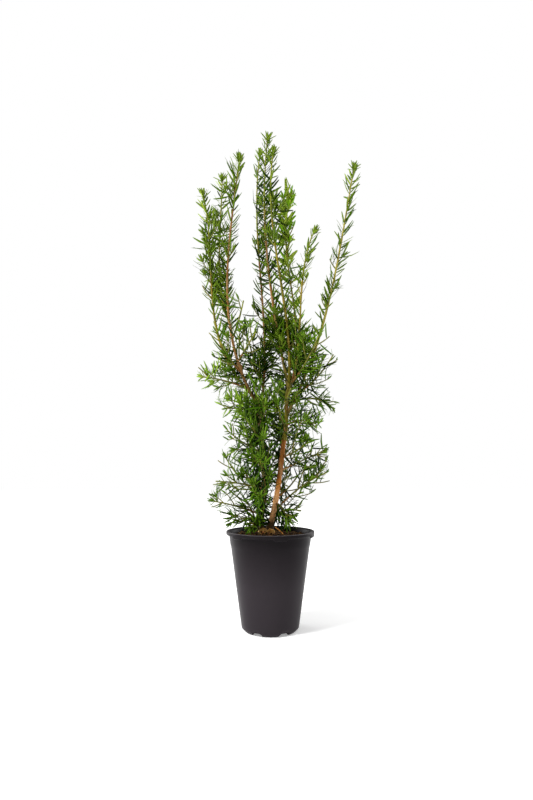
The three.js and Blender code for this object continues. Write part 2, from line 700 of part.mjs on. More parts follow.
addMesh('pot', makePot(), potPlastic);
addMesh('soil', makeSoil(), soilBrown);
for (const [name, solid] of limbSolids) {
  addMesh(name, solid, name === 'trunk' ? trunkBark : boughBark);
}
const limbClearance = wasm.Manifold.union(limbClearances);
for (const mass of masses) {
  addMesh(mass.name, makeMass(mass, limbClearance), mass.leader ? shootGreen : sprayGreen);
}

export default plant;
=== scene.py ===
import math
from dataclasses import dataclass, field, replace

import bpy
import numpy as np
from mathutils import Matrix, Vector


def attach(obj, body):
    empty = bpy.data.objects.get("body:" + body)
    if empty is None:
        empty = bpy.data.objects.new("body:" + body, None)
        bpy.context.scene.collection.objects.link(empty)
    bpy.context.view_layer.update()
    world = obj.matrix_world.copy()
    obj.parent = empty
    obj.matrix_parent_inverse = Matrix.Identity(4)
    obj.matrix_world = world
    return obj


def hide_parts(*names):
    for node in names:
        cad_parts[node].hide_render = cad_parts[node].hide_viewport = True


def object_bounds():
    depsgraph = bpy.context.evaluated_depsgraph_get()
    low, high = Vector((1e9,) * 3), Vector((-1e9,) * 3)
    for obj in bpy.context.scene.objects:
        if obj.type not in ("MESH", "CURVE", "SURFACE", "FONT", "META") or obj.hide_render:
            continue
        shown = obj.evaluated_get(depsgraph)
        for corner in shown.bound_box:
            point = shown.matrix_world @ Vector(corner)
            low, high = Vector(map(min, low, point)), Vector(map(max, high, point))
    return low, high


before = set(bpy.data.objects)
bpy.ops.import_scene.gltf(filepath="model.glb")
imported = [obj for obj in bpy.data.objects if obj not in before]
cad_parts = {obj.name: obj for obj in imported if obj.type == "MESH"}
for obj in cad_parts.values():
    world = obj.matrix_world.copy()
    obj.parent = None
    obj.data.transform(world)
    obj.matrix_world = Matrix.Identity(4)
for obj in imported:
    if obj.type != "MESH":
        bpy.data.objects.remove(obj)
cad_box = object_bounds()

# A young upright yew in its plastic nursery pot. Lengths are in millimetres until a mesh is made.
# The origin is the centre of the pot's underside, +X is the right of the front view, +Z is up.
MM = 0.001
UP = np.array([0.0, 0.0, 1.0])
RIGHT = np.array([1.0, 0.0, 0.0])

# Pot
POT_SIDES = 216
POT_HEIGHT = 184.5
WALL = 1.6
FLOOR_BOTTOM = 6.8
FLOOR_TOP = 8.6
FOOT_INNER_RADIUS = 44.5
FOOT_OUTER_RADIUS = 48.5
FOOT_CHAMFER_HEIGHT = 6
WALL_BASE_RADIUS = 53.8
WALL_SLOPE = 0.1314
COLLAR_HEIGHT = 158
COLLAR_STEP = 0.6
LIP_BOTTOM = 178
LIP_RADIUS = 82.3
LIP_ROUND = 1.6
TAB_DEPTH = 3.6
TAB_ANGLE = 16
TAB_RAMP = 1.6
FIRST_TAB_AZIMUTH = -90 + 12.6
NOTCH_ANGLE = 21
NOTCH_RAMP = 5
NOTCH_HEIGHT = 6.6
FIRST_NOTCH_AZIMUTH = -90 + 30
CENTRE_PAD_RADIUS = 12
DRAIN_RADIUS = 4
DRAIN_CIRCLE = 36
POT_REPEATS = 6

# Soil
SOIL_TOP = 176
SOIL_FLAT_RADIUS = 26
SOIL_EDGE_HEIGHT = 175
SOIL_GAP = 0.35
SOIL_SIDES = 180
SOIL_RINGS = 60
# Lumps of the soil: height, length and seed
SOIL_LUMPS = [(1.1, 23, 3), (0.7, 9, 4), (0.35, 3.6, 5)]
# Bits on the soil: the piece, how many, their sizes, and how much longer they are than wide
CRUMB_KINDS = [
    ("soil_crumbs", 930, (1.0, 2.6), 1.3),
    ("bark_chips", 375, (1.4, 3.4), 2.4),
    ("pale_bits", 195, (0.7, 1.8), 1.8),
]
CRUMB_SEED = 11
CRUMBS_FROM_WALL = 4
# A crumb's corners are pushed about by shares of its size. It is flatter than wide, lies nearly level,
# and its middle stands a share of its size over the soil.
CRUMB_CORNERS = (-0.35, 0.2)
CRUMB_THICKNESS = 0.6
CRUMB_SLOPE = 0.35
CRUMB_ROLL = 0.4
CRUMB_LIFT = 0.15
# Fallen needles: how many, the circle they are strewn over and the part of its area that they take,
# the radius that their ends stay inside, then their lengths, width, slope, curl and height over the soil
FALLEN_NEEDLES = 34
FALLEN_RADIUS = 64
FALLEN_AREA = (0.08, 1)
FALLEN_LIMIT = 68
FALLEN_LENGTHS = (14, 22)
FALLEN_WIDTH = 2.0
FALLEN_SLOPE = (0.02, 0.22)
FALLEN_CURL = 0.12
FALLEN_LIFT = 0.9
FALLEN_SEED = 5
# The broken stick: its course, and its radius at the foot and the tip
STICK = [[9, -30, 194], [16, -36, 190], [23, -44, 183]]
STICK_RADII = (1.15, 0.85)

# Woody limbs: a cubic curve each, with the radius at its foot and its tip
TRUNK_FLARE = 9
TRUNK_FLARE_LENGTH = 0.09
STEMS = {
    "trunk": ([[-9, 0, 166], [13, 2, 226], [17, 3, 290], [26, 5, 354]], 5.4, 4.2),
    "bough_right": ([[26, 5, 354], [34, 3, 386], [26, 2, 420], [34, 0, 451]], 4.1, 3.5),
    "stem_left": ([[-19, 12, 166], [-8, 6, 272], [-8, 7, 357], [-27, 10, 439]], 4.6, 3.2),
}
# The front view, and what it shows: the lower crown's outline and the gaps of open sky, each as rows
# of height, left and right. Thin places are left, right, low, high and the share of needles kept.
VIEW_X = -7.1
VIEW_HEIGHT = 305
VIEW_DISTANCE = 1000
CROWN_OUTLINE = [
    (190, -90, 66), (213, -104, 60), (232, -116, 66), (251, -121, 82), (269, -104, 88), (288, -98, 110),
    (340, -92, 114), (365, -91, 98), (385, -90, 98), (405, -93, 124), (420, -96, 132), (438, -124, 116),
    (456, -136, 110), (478, -141, 120), (496, -134, 129), (514, -113, 126), (532, -107, 106),
    (552, -114, 104), (570, -110, 108), (600, -122, 114), (640, -132, 140),
]
SKY_GAPS = [
    [(588, -48, -41), (606, -56, -38), (640, -62, -32), (662, -65, -34), (700, -60, -37),
     (740, -57, -36), (790, -53, -35), (850, -49, -33), (900, -44, -30)],
    [(585, 71, 80), (625, 70, 92), (662, 72, 100), (681, 82, 110), (718, 88, 114), (740, 100, 125)],
    [(715, 53, 63), (737, 46, 63), (756, 46, 80), (774, 49, 130), (812, 54, 137), (835, 44, 140)],
    [(252, 33, 50), (272, 30, 54), (288, 38, 48)],
]
THIN_PLACES = [
    (-125, -90, 500, 568, 0.5), (66, 125, 528, 590, 0.7), (74, 98, 412, 475, 0.4),
    (78, 101, 366, 391, 0.4), (26, 75, 205, 262, 0.5), (26, 55, 262, 355, 0.34),
    (-90, -38, 197, 285, 0.45), (-75, -14, 515, 590, 0.45), (-90, -40, 345, 395, 0.45),
    (-23, 12, 176, 194, 0.03), (60, 80, 300, 322, 0.5), (50, 101, 322, 348, 0.15),
    (-80, -57, 366, 392, 0.2), (33, 56, 638, 706, 0.35), (123, 146, 640, 705, 0.6),
    (-34, -11, 526, 571, 0.2), (-140, -117, 636, 662, 0.2), (55, 80, 228, 262, 0.3),
]

# Root spurs at the trunk's foot: azimuth, reach and thickness, and how high on it they start
ROOT_SPURS = [(200, 15, 4.4), (285, 13, 4.8), (345, 17, 4.2)]
ROOT_SPUR_RISE = 9
# Root crown: knobbly golden wood that loops round the trunk's foot. Each line is azimuth, distance
# and height of its start, then of its end, and its thickness. Loops bulge out and arch up between.
ROOT_KNOBS = [
    ((196, 16, 180), (262, 13, 189), 3.4), ((214, 17, 186), (300, 12, 184), 2.8),
    ((250, 15, 181), (318, 14, 187), 3.2), ((282, 17, 180), (345, 13, 185), 3.0),
    ((180, 13, 186), (232, 16, 179), 2.6), ((300, 18, 179), (30, 12, 183), 2.4),
    ((60, 12, 181), (130, 14, 182), 2.6),
]
ROOT_CROWN_SHARE = 0.12
ROOT_CROWN_SHIFT = 4
ROOT_BULGE = 7
ROOT_ARCH = 3
# Knots and swellings of the limbs: the share of the limb where each sits, its width as a share and
# its height. A limb without its own has the one at its foot.
KNOTS = {
    "trunk": [(0.975, 0.018, 0.9), (0.42, 0.02, 0.7)],
    "bough_right": [(0, 0.16, 1.0)],
    "bough_left_front": [(0.175, 0.013, 2.6)],
}
FOOT_KNOT = [(0, 0.03, 0.9)]
# Bark relief on a limb as thick as the trunk. Plates and grain: how high, how wide, and the factor on
# their height's coordinate that draws them out upwards. All of it is sunk a little.
PLATES = (0.42, 9, 0.22)
GRAIN = (0.2, 3.2, 0.45)
RELIEF_SUNK = 0.3
# Bark meshes: the fewest rings, the gap between rings, and the sides of a main limb and of a bough
BARK_RINGS = 14
BARK_RING_GAP = 1.6
LIMB_SIDES = 40
BOUGH_SIDES = 22
LIMB_BARKS = {
    "trunk": "trunk", "bough_right": "olive", "bough_front": "olive", "bough_left_front": "brown",
}

# Upright leaders: path, radius at the foot, share of the path that is a woody bough, short side
# twigs (share of the path, azimuth in degrees, length), and how far up the bark stays brown
LEADERS = {
    "top": ([[34, 0, 451], [2, 2, 607], [-23, 3, 758], [-5, 5, 921]], 3.0, 0.1,
            [[0.42, 250, 34], [0.58, 120, 30], [0.7, 300, 26]], 0.6),
    "front": ([[34, 0, 451], [46, -13, 597], [-17, -27, 735], [5, -40, 867]], 2.9, 0.1,
              [[0.45, 330, 36], [0.6, 190, 28], [0.72, 20, 24]], 0.1),
    "far_right": ([[30, 3, 400], [110, 5, 543], [130, 10, 709], [159, 15, 871]], 2.8, 0.14,
                  [[0.6, 190, 22], [0.44, 205, 22], [0.5, 330, 16]], 0.14),
    "left_front": ([[-22, 9, 415], [-108, -11, 557], [-77, -29, 698], [-55, -50, 850]], 3.0, 0.4,
                   [[0.91, 290, 22], [0.84, 185, 26], [0.62, 320, 18]], 0.9),
    "mid_left": ([[-20, 9, 401], [10, 20, 565], [-43, 30, 735], [-20, 40, 910]], 2.6, 0.13,
                 [[0.36, 175, 30], [0.62, 60, 26]], 0.6),
    "far_left": ([[-25, 10, 430], [-143, -4, 535], [-92, -16, 670], [-122, -30, 797]], 2.7, 0.13,
                 [[0.52, 185, 30], [0.64, 200, 26], [0.72, 250, 24], [0.8, 340, 26]], 0.1),
    "right_back": ([[32, 1, 438], [84, 15, 567], [6, 30, 691], [38, 45, 833]], 2.4, 0.1,
                   [[0.9, 180, 30], [0.78, 330, 28], [0.66, 90, 26], [0.56, 20, 30]], 0.4),
    "right_front": ([[32, 1, 438], [70, -18, 533], [39, -37, 637], [77, -55, 720]], 2.2, 0.1,
                    [[0.66, 330, 15], [0.8, 330, 20]], 0.15),
    "left_back": ([[-73, -11, 563], [-109, -2, 653], [-92, 17, 756], [-93, 35, 860]], 2.1, 0,
                  [[0.35, 160, 24], [0.6, 30, 22]], 0.1),
}
LEADER_TIP_RADIUS = 1.2

# Wood that shows clear in the front view: the stem's name, the heights between which it shows, and
# half the width that is kept clear before it
CLEAR_WOOD = [
    ("trunk", 214, 264, 9), ("trunk", 296, 351, 9), ("bough_right", 366, 396, 3.5),
    ("bough_right", 396, 458, 9),
    ("left_front", 480, 500, 6), ("left_front", 500, 790, 2.4), ("far_left", 540, 680, 2),
    ("mid_left", 587, 860, 1.4), ("top", 640, 890, 1.4), ("front", 456, 724, 3),
    ("right_front", 560, 690, 1.4), ("far_right", 500, 850, 1.2),
]

# Side sprays that show: limb, height of the root on it, tip, rise of the middle. The tip is where
# the last needles end, and the stem stops short of it.
PLACED_SPRAYS = [
    ("bough_far_left", 452, [-141, -15, 472], 4),
    ("stem_left", 398, [-92, -42, 410], 6),
    ("stem_left", 330, [-88, -38, 376], -5),
    ("stem_left", 252, [-94, 26, 330], -14),
    ("stem_left", 262, [-111, -28, 279], 3),
    ("stem_left", 212, [-119, -4, 243], 3),
    ("stem_left", 200, [-84, -14, 200], 7),
    ("bough_far_right", 444, [124, -22, 518], -10),
    ("bough_far_right", 425, [132, 22, 414], 12),
    ("bough_right", 380, [93, -44, 372], 12),
    ("trunk", 296, [108, -24, 338], 0),
    ("trunk", 218, [114, -6, 300], 9),
    ("trunk", 246, [74, 34, 316], -8),
    ("trunk", 214, [66, -36, 226], 4),
    ("trunk", 232, [36, -52, 200], 12),
    ("bough_mid_left", 452, [-50, 2, 575], -6),
    ("bough_right", 408, [30, -84, 428], 8),
    ("bough_right_front", 460, [92, -58, 548], -8),
    ("bough_left_front", 478, [-104, -46, 556], -8),
    ("bough_left_front", 540, [-44, -68, 604], -6),
]

# A spray over the pot's rim, placed after all others
LOW_SPRAYS = [
    ("stem_left", 195, [-40, -42, 193], 6),
]

# Side sprays that fill the crown, to the back and the front in turn, each tried at several azimuths
FILL_COUNT = 26
FILL_LOW = 216
FILL_HIGH = 505
FILL_SPREAD = 120
FILL_TRIES = 24
FILL_TRY_TURN = 17
FILL_REACH = 76
FILL_REACH_SPREAD = 18
FILL_CLIMB = 36
FILL_CLIMB_LEAST = 0.4
FILL_RISE = 8
# The limbs that carry them on each side of the plant, each up to a height
FILL_LIMBS = {
    "left": [(425, "stem_left"), (math.inf, "bough_left_front")],
    "right": [(345, "trunk"), (435, "bough_right"), (math.inf, "bough_right_back")],
}
CROWN_AXIS = (6, 4)
STEM_CLEARANCE = 5
SPACE_GAP = 0.4

# Side twigs, and the finer twigs that only the finished plant has. Radii are at the foot and the tip.
SPRAY_RADII = (2.0, 1.1)
SPRAY_STEPS = 4
SPRAY_TIP_ROOM = 12
TWIG_RADII = {"twig": (1.3, 0.9), "fine": (1.1, 0.7)}
TWIG_STEPS = 2
TWIG_SPACING = 30
TWIG_RUN = (0.3, 0.82)
TWIG_ANGLE = 48
TWIG_ANGLE_SPREAD = 16
TWIG_SHARE = 0.46
TWIG_PLANE_ROLL = 50
LATERAL_CLIMB = 0.9
# A twig's tip seen from its root, in twig lengths: out, along its parent and up
TWIG_OUT = 0.82
TWIG_FORWARD = 0.24
TWIG_LIFT = 0.06
# Finer twigs: how many on each parent, the shares of the parent between which they leave, their
# lengths, their angle to the parent in degrees, and how strongly they turn up
FINE_TWIGS = {
    "leader": [(4, 0.0, 0.16, (34, 58), 34, 0.1), (2, 0.45, 0.82, (12, 20), 40, 0.1)],
    "spray": [(2, 0.06, 0.3, (30, 50), 36, 0.9)],
    "fill": [(3, 0.06, 0.45, (40, 78), 36, 0.9)],
    "twig": [],
}
EXTRA_TWIGS = {
    "shoot_right_back": [(9, 0.66, 0.99, (14, 26), 48, 0.3)],
    "shoot_far_left": [(8, 0.45, 0.85, (14, 22), 60, 0.1)],
    "shoot_left_back": [(2, 0.3, 0.7, (14, 20), 50, 0.1)],
    "shoot_far_right": [(3, 0.3, 0.6, (12, 18), 44, 0.1)],
    "shoot_mid_left": [(7, 0.0, 0.2, (20, 34), 56, 0.2)],
    "shoot_top": [(9, 0.0, 0.14, (22, 36), 58, 0.1)],
    "shoot_front": [(8, 0.0, 0.1, (22, 36), 60, 0.1)],
    "spray_10": [(3, 0.5, 0.9, (14, 22), 54, 0.2)],
    "spray_11": [(4, 0.25, 0.8, (18, 30), 60, 0.5)],
    "spray_12": [(4, 0.5, 0.95, (16, 26), 60, -0.5)],
    "spray_14": [(4, 0.5, 0.95, (16, 26), 50, -0.3)],
    "spray_15": [(2, 0.7, 0.98, (14, 22), 50, 0.1)],
    "spray_16": [(7, 0.15, 0.85, (16, 30), 52, 0.0)],
    "spray_18": [(3, 0.4, 0.8, (18, 28), 50, -0.3)],
    "spray_19": [(3, 0.6, 0.98, (16, 26), 50, 0.4)],
    "spray_20": [(5, 0.55, 0.98, (14, 24), 50, 0.2)],
    "spray_21": [(7, 0.42, 0.98, (14, 24), 50, 0.4)],
    "spray_22": [(4, 0.04, 0.35, (16, 26), 60, -0.3)],
    "spray_23": [(4, 0.1, 0.5, (18, 28), 48, -0.3), (4, 0.02, 0.2, (16, 26), 78, -0.3)],
    "spray_24": [(4, 0.05, 0.4, (16, 28), 60, -0.2)],
    "spray_46": [(6, 0.0, 0.8, (16, 26), 56, 0.1)],
}
# Leaders without finer twigs of their own, and leaders whose stem is pale
PLAIN_LEADERS = {"shoot_far_right"}
PALE_LEADERS = {"shoot_far_right"}
GREEN_BARK_FROM = 0.72
# Barks along a side spray, each between two shares of its stem
SPRAY_BARKS = [("brown", 0.0, 0.3), ("moss", 0.3, 0.75), ("green", 0.75, 1.0)]
# Stem meshes: the gap between rings, the sides of a stem and of a twig, the shortest share of a stem
# that gets a bark of its own, and the share by which barks overlap
STEM_RING_GAP = 5
STEM_SIDES = 8
TWIG_SIDES = 6
SHORTEST_BARK = 0.02
BARK_OVERLAP = 0.004
# Ridges along stems, as shares of the radius: how many, how they wind, how high they are, and the
# height and length of a fine noise
RIDGES = 4
RIDGE_WINDING = 18
RIDGE_HEIGHT = 0.07
STEM_NOISE = 0.06
STEM_NOISE_LENGTH = 7


@dataclass
class Habit:
    """How needles stand on a kind of stem: the gap between them along it, their width, their lengths
    at its foot and its tip, their angles to it there in degrees, and how far they bend forward."""
    gap: float
    width: float
    lengths: tuple
    angles: tuple
    bend: float


SPRAY_HABIT = Habit(3.9, 3.3, (33, 26), (80, 58), 0.34)
HABITS = {
    "leader": Habit(3.3, 3.6, (27, 21), (60, 42), 0.14),
    "bough": Habit(3.8, 3.6, (28, 24), (64, 50), 0.14),
    "comb": Habit(1.9, 3.0, (34, 30), (88, 72), 0.34),
    "droop": Habit(1.3, 3.0, (28, 24), (112, 80), -0.2),
    "spray": SPRAY_HABIT,
    "fill": SPRAY_HABIT,
    "twig": SPRAY_HABIT,
    "fine": SPRAY_HABIT,
}
UPRIGHT_KINDS = {"leader", "bough", "comb", "droop"}
# Needles on bare wood: the limb, the mass whose piece they join, their habit, the shares between
# which they grow, and the two tints that they take at random
LIMB_NEEDLES = [
    ("bough_right", "shoot_front", "comb", 0.1, 0.95, (2, 3)),
    ("bough_top", "shoot_top", "comb", 0.02, 0.14, (0, 1)),
    ("bough_mid_left", "shoot_mid_left", "comb", 0.1, 0.24, (0, 1)),
    ("bough_left_front", "shoot_left_front", "comb", 0.02, 0.15, (1, 2)),
    ("stem_left", "spray_16", "droop", 0.05, 0.3, (0, 1)),
    ("stem_left", "spray_16", "bough", 0.3, 0.7, (0, 0)),
    ("trunk", "spray_16", "droop", 0.1, 0.26, (0, 0)),
    ("trunk", "spray_16", "bough", 0.52, 0.6, (0, 1)),
]
# Needles on the bare part of a leader: the share of it where they start, and how many are deep green, as
# painted shade inside the crown
BOUGH_NEEDLES_FROM = 0.1
BOUGH_DEEP_SHARE = 0.6

# Where needles stand: round the stem by the golden angle, or a share of them in two ranks with a
# spread in radians. On a stem that lies flat they stand up and down by a factor more than sideways.
# Between two climbs of its direction a stem goes from flat to upright. Every stem has a few at least.
GOLDEN_ANGLE = 137.5
PAIRED_SHARE = 0.65
PAIR_SPREAD = 0.5
STANDING = 1.5
UPRIGHT_CLIMB = (0.62, 0.9)
FEWEST_NEEDLES = 4
# How they stray at random: along the stem in gaps, round it in radians, in their angle to it in
# degrees, in their forward bend, in their sideways curl about its mean, in the twist of the blade in
# radians, and in their length and width by a factor
PLACE_STRAY = 0.3
TURN_STRAY = 0.25
ANGLE_STRAY = 7
BEND_STRAY = 0.13
MEAN_CURL = 0.02
UPRIGHT_CURL = 0.1
SIDE_CURL = 0.2
TWIST = 0.8
LENGTH_STRAY = (0.82, 1.12)
WIDTH_STRAY = (0.85, 1.15)
# How they end: the last ones lie closer by an angle in degrees and are shorter by a share, and the
# first ones are shorter too, each along a run of the stem. A root sits at a share of its radius.
TIP_CLOSING = 14
TIP_CLOSING_RUN = (0.93, 1)
TIP_SHORTENING = 0.45
TIP_SHORTENING_RUN = (0.9, 1)
FIRST_LENGTH = 0.72
FIRST_RUN = (0, 0.12)
ROOT_DEPTH = 0.75
# A blade's rings: how far along it, half its width as a share, its ridge and its keel
NEEDLE_RUN = np.array([0.0, 0.14, 0.55, 0.9])
NEEDLE_HALF_WIDTH = np.array([0.3, 0.92, 1.0, 0.55])
NEEDLE_RIDGE = np.array([0.3, 0.4, 0.42, 0.3])
NEEDLE_KEEL = np.array([0.3, 0.22, 0.2, 0.14])
NEEDLES_PER_PIECE = 6400
FOLIAGE_SEED = 2024
# Tufts at the tips: how many blades, their angles to the stem in degrees, and their lengths
TUFTS = {
    "leader": (17, (12, 60), (12, 19)),
    "spray": (10, (12, 60), (12, 19)),
    "star": (11, (32, 96), (20, 22)),
}
SMALL_TUFT = (7, (12, 60), (12, 19))
# Their roots lie along the last part of the stem, a little out from its middle. They start at any turn
# in radians, and stray in their angle in degrees, in their length by a factor and in their curl about
# its mean. A tip above a climb counts as upright.
TUFT_DEPTH = 6.0
TUFT_OUT = 0.4
TUFT_TURNS = (0, 6.3)
TUFT_ANGLE_STRAY = 6
TUFT_LENGTH_STRAY = (0.85, 1.15)
TUFT_CURL = (-0.05, 0.06)
TUFT_CLIMB = 0.6

# Needle tints from dark to light: partly the needles' own range of greens, partly painted light and shade.
# A shoot and a spray have a middle tint and a spread about it. Stems that end far out, roots far out on a
# spray, and tips are lighter, painted light on the crown's outside against painted shade in its inside: by
# how much, and between which distances from the crown's axis or shares of the stem.
TINTS = ("deep", "mid", "fresh", "bright", "vivid")
TINT_BASES = {"shoot": (0.55, 0.3), "spray": (-0.65, 0.7)}
OUTER_STEM_LIGHT = (0.7, 20, 95)
OUTER_ROOT_LIGHT = (1.1, 10, 75)
TIP_LIGHT = (0.9, 0.75, 1)
TINT_STRAY = 0.55
# Masses in the light or in the shade: by how many tints, and the tint of their tufts
MASS_LIGHT = {
    "shoot_right_back": (2.2, "vivid"), "spray_10": (1.3, "bright"), "spray_11": (1.3, "bright"),
    "spray_16": (-0.5, "mid"), "spray_22": (-0.5, "mid"), "spray_26": (-0.5, "mid"),
}
PLAIN_LIGHT = (0.0, "fresh")
# Masses with fewer needles, with needles closer together, with wider ones, and with a star at the tip
SPARSE_MASSES = {"spray_10": 0.75, "spray_26": 0.5}
DENSE_MASSES = {
    "shoot_far_right": 0.66, "shoot_far_left": 0.85, "shoot_left_front": 0.66, "shoot_top": 0.68,
    "shoot_mid_left": 0.78,
}
WIDER_MASSES = {"shoot_right_back": 1.7, "spray_46": 1.35, "spray_24": 1.35}
STAR_MASSES = {"spray_24", "shoot_right_back"}

# How low foliage may reach over the soil and over the pot's rim, and how far needles may reach past
# the solids' box
FOLIAGE_FLOOR_INSIDE = SOIL_TOP + 1.5
FOLIAGE_FLOOR_RIM = POT_HEIGHT + 1
RIM_ZONE_RADIUS = 66
NEEDLE_CLEARANCE = 0.5
REACH_MARGIN = 2
REACH = (np.array(cad_box[0]) / MM - REACH_MARGIN, np.array(cad_box[1]) / MM + REACH_MARGIN)


def unit(vectors):
    """Each vector divided by its length."""
    return vectors / np.maximum(np.linalg.norm(vectors, axis=-1, keepdims=True), 1e-9)


def turned(vectors, axes, angles):
    """Vectors turned about unit axes square to them: v cos(a) + (axis x v) sin(a)."""
    angles = np.asarray(angles)[..., None]
    return vectors * np.cos(angles) + np.cross(axes, vectors) * np.sin(angles)


def leaning(along, outward, degrees):
    """Unit directions that lean from along towards outward: along cos(t) + outward sin(t)."""
    angle = np.radians(degrees)[:, None]
    return unit(along * np.cos(angle) + outward * np.sin(angle))


def square_to(vectors, directions):
    """Vectors less their part along unit directions, as unit vectors: v - (v . d) d."""
    return unit(vectors - (vectors * directions).sum(1, keepdims=True) * directions)


def blend(low, high, share):
    """The value a share of the way from low to high."""
    return low + (high - low) * share


def smooth_step(low, high, value):
    """0 below low, 1 above high, and the cubic 3t^2 - 2t^3 between them."""
    t = np.clip((value - low) / (high - low), 0, 1)
    return t * t * (3 - 2 * t)


def flat_direction(azimuth):
    """The level unit vector at an azimuth in degrees."""
    turn = math.radians(azimuth)
    return np.array([math.cos(turn), math.sin(turn), 0.0])


def chance(seed, draw):
    """A repeatable number between 0 and 1: a multiplying generator that starts from two numbers."""
    modulus, multiplier = 2147483647, 16807
    state = (seed * 7919 + draw * 104729 + 12345) % modulus
    return state * multiplier ** 2 % modulus / modulus


def ripple(points, scale, seed, waves=9):
    """Smooth noise between about -1 and 1: the mean of sine waves of random direction, each about
    one scale long."""
    random = np.random.default_rng(seed)
    directions = unit(random.normal(size=(waves, 3))) * random.uniform(0.6, 1.7, (waves, 1))
    phases = random.uniform(0, 2 * math.pi, waves)
    turns = np.asarray(points) @ directions.T * (2 * math.pi / scale) + phases
    return np.sin(turns).sum(-1) / math.sqrt(waves)


class Bezier:
    """A Bezier curve: the sum of its points, each times its Bernstein weight."""

    def __init__(self, *points):
        self.points = np.array(points, float)
        self.powers = np.arange(len(points))
        self.choose = np.array([math.comb(len(points) - 1, k) for k in self.powers], float)

    def at(self, share):
        """Points at shares of the curve."""
        share = np.asarray(share, float)[..., None]
        return (self.choose * share ** self.powers * (1 - share) ** self.powers[::-1]) @ self.points

    def along(self, share):
        """Unit directions at shares of the curve, from points a little before and after."""
        share = np.asarray(share, float)
        return unit(self.at(np.clip(share + 1e-4, 0, 1)) - self.at(np.clip(share - 1e-4, 0, 1)))

    def length(self):
        """The sum of 200 chords."""
        return np.linalg.norm(np.diff(self.at(np.linspace(0, 1, 201)), axis=0), axis=1).sum()

    def share_at_height(self, height):
        """The share at which a climbing curve passes a height, by halving."""
        low, high = 0.0, 1.0
        for _ in range(40):
            middle = (low + high) / 2
            if self.at(middle)[2] < height:
                low = middle
            else:
                high = middle
        return (low + high) / 2


def frame_at(curve, share, reference, roll=0.0):
    """Directions at shares of a curve: along it, to its side and over it, these two turned by roll."""
    along = curve.along(share)
    side = turned(unit(np.cross(along, reference)), along, roll)
    return along, side, np.cross(side, along)


# The skeleton grows by the same rule as the solids, and then on to finer twigs


@dataclass
class Stem:
    """One stem, twig or limb: a curve whose radius goes evenly from foot to tip."""
    curve: Bezier
    foot: float
    tip: float
    steps: int
    kind: str
    start: float = 0.0

    def radius(self, share):
        """The radius at shares of the curve."""
        return blend(self.foot, self.tip, share)


@dataclass
class Mass:
    """One shoot or spray with its own space: its stem first, then its twigs. Only a shoot has laterals."""
    name: str
    seed: int
    stems: list
    laterals: list = None
    brown: float = 0.0

    @property
    def kind(self):
        """Whether it is a shoot or a spray."""
        return "spray" if self.laterals is None else "shoot"


@dataclass
class Space:
    """Capsules of everything placed so far, by owner, for the test that keeps masses apart."""
    starts: list = field(default_factory=list)
    ends: list = field(default_factory=list)
    radii: list = field(default_factory=list)
    owners: list = field(default_factory=list)

    def add(self, owner, stem, low=0.0, high=1.0):
        """Adds a stem as a row of capsules between two shares of it."""
        shares = np.linspace(low, high, stem.steps + 1)
        points = stem.curve.at(shares)
        self.starts += list(points[:-1])
        self.ends += list(points[1:])
        self.radii += list(stem.radius(shares[:-1]))
        self.owners += [owner] * stem.steps

    def holds(self, stem, owner, limb, extra):
        """Whether a stem keeps clear of every other owner's capsules and of the pot."""
        points = stem.curve.at(np.linspace(0, 1, stem.steps + 1))
        if not above_the_pot(points[1:], stem.foot).all():
            return False
        owners = np.array(self.owners)
        others = (owners != owner) & (owners != limb)
        starts, ends = np.array(self.starts)[others], np.array(self.ends)[others]
        needed = np.array(self.radii)[others] + stem.foot + extra
        pairs = zip(points, points[1:])
        return all((segment_gaps(p, q, starts, ends) >= needed).all() for p, q in pairs)


def segment_gaps(first, last, starts, ends):
    """Distance from one segment to many: the nearest shares on the endless lines, clamped in turn."""
    one, many, apart = last - first, ends - starts, first - starts
    one_one, many_many, many_one = one @ one, (many * many).sum(1), many @ one
    one_apart, many_apart = apart @ one, (many * apart).sum(1)
    across = one_one * many_many - many_one * many_one
    crossing = (many_one * many_apart - one_apart * many_many) / np.maximum(across, 1e-9)
    share = np.where(across > 1e-9, np.clip(crossing, 0, 1), 0)
    other = (many_one * share + many_apart) / many_many
    before, after = np.clip(-one_apart / one_one, 0, 1), np.clip((many_one - one_apart) / one_one, 0, 1)
    share = np.where(other < 0, before, np.where(other > 1, after, share))
    other = np.clip(other, 0, 1)
    return np.linalg.norm(first + share[:, None] * one - starts - other[:, None] * many, axis=1)


def above_the_pot(points, radius):
    """Whether points of a radius clear the soil, and the pot's rim where they stand over it."""
    over_rim = np.hypot(points[..., 0], points[..., 1]) > RIM_ZONE_RADIUS
    return points[..., 2] - radius > np.where(over_rim, FOLIAGE_FLOOR_RIM, FOLIAGE_FLOOR_INSIDE)


def grow_limbs(space):
    """The woody limbs by name, each with the share of its curve that is bare wood."""
    limbs = {}
    for name, (path, foot, tip) in STEMS.items():
        limbs[name] = (Stem(Bezier(*path), foot, tip, 7, "limb"), 1.0)
        space.add(name, limbs[name][0])
    for name, (path, foot, bough, _, _) in LEADERS.items():
        if bough == 0:
            continue
        stem = Stem(Bezier(*path), foot, LEADER_TIP_RADIUS, 5, "limb")
        limbs[f"bough_{name}"] = (stem, bough)
        space.add(f"bough_{name}", stem, 0.0, bough)
    return limbs


def spray_curve(root, tip, rise):
    """A quadratic curve whose middle point is lifted by twice the rise."""
    return Bezier(root, (root + tip) / 2 + UP * 2 * rise, tip)


def limb_for_fill(height, side):
    """The limb that carries a filling spray, by its height and the side it faces."""
    return next(limb for top, limb in FILL_LIMBS[side] if height < top)


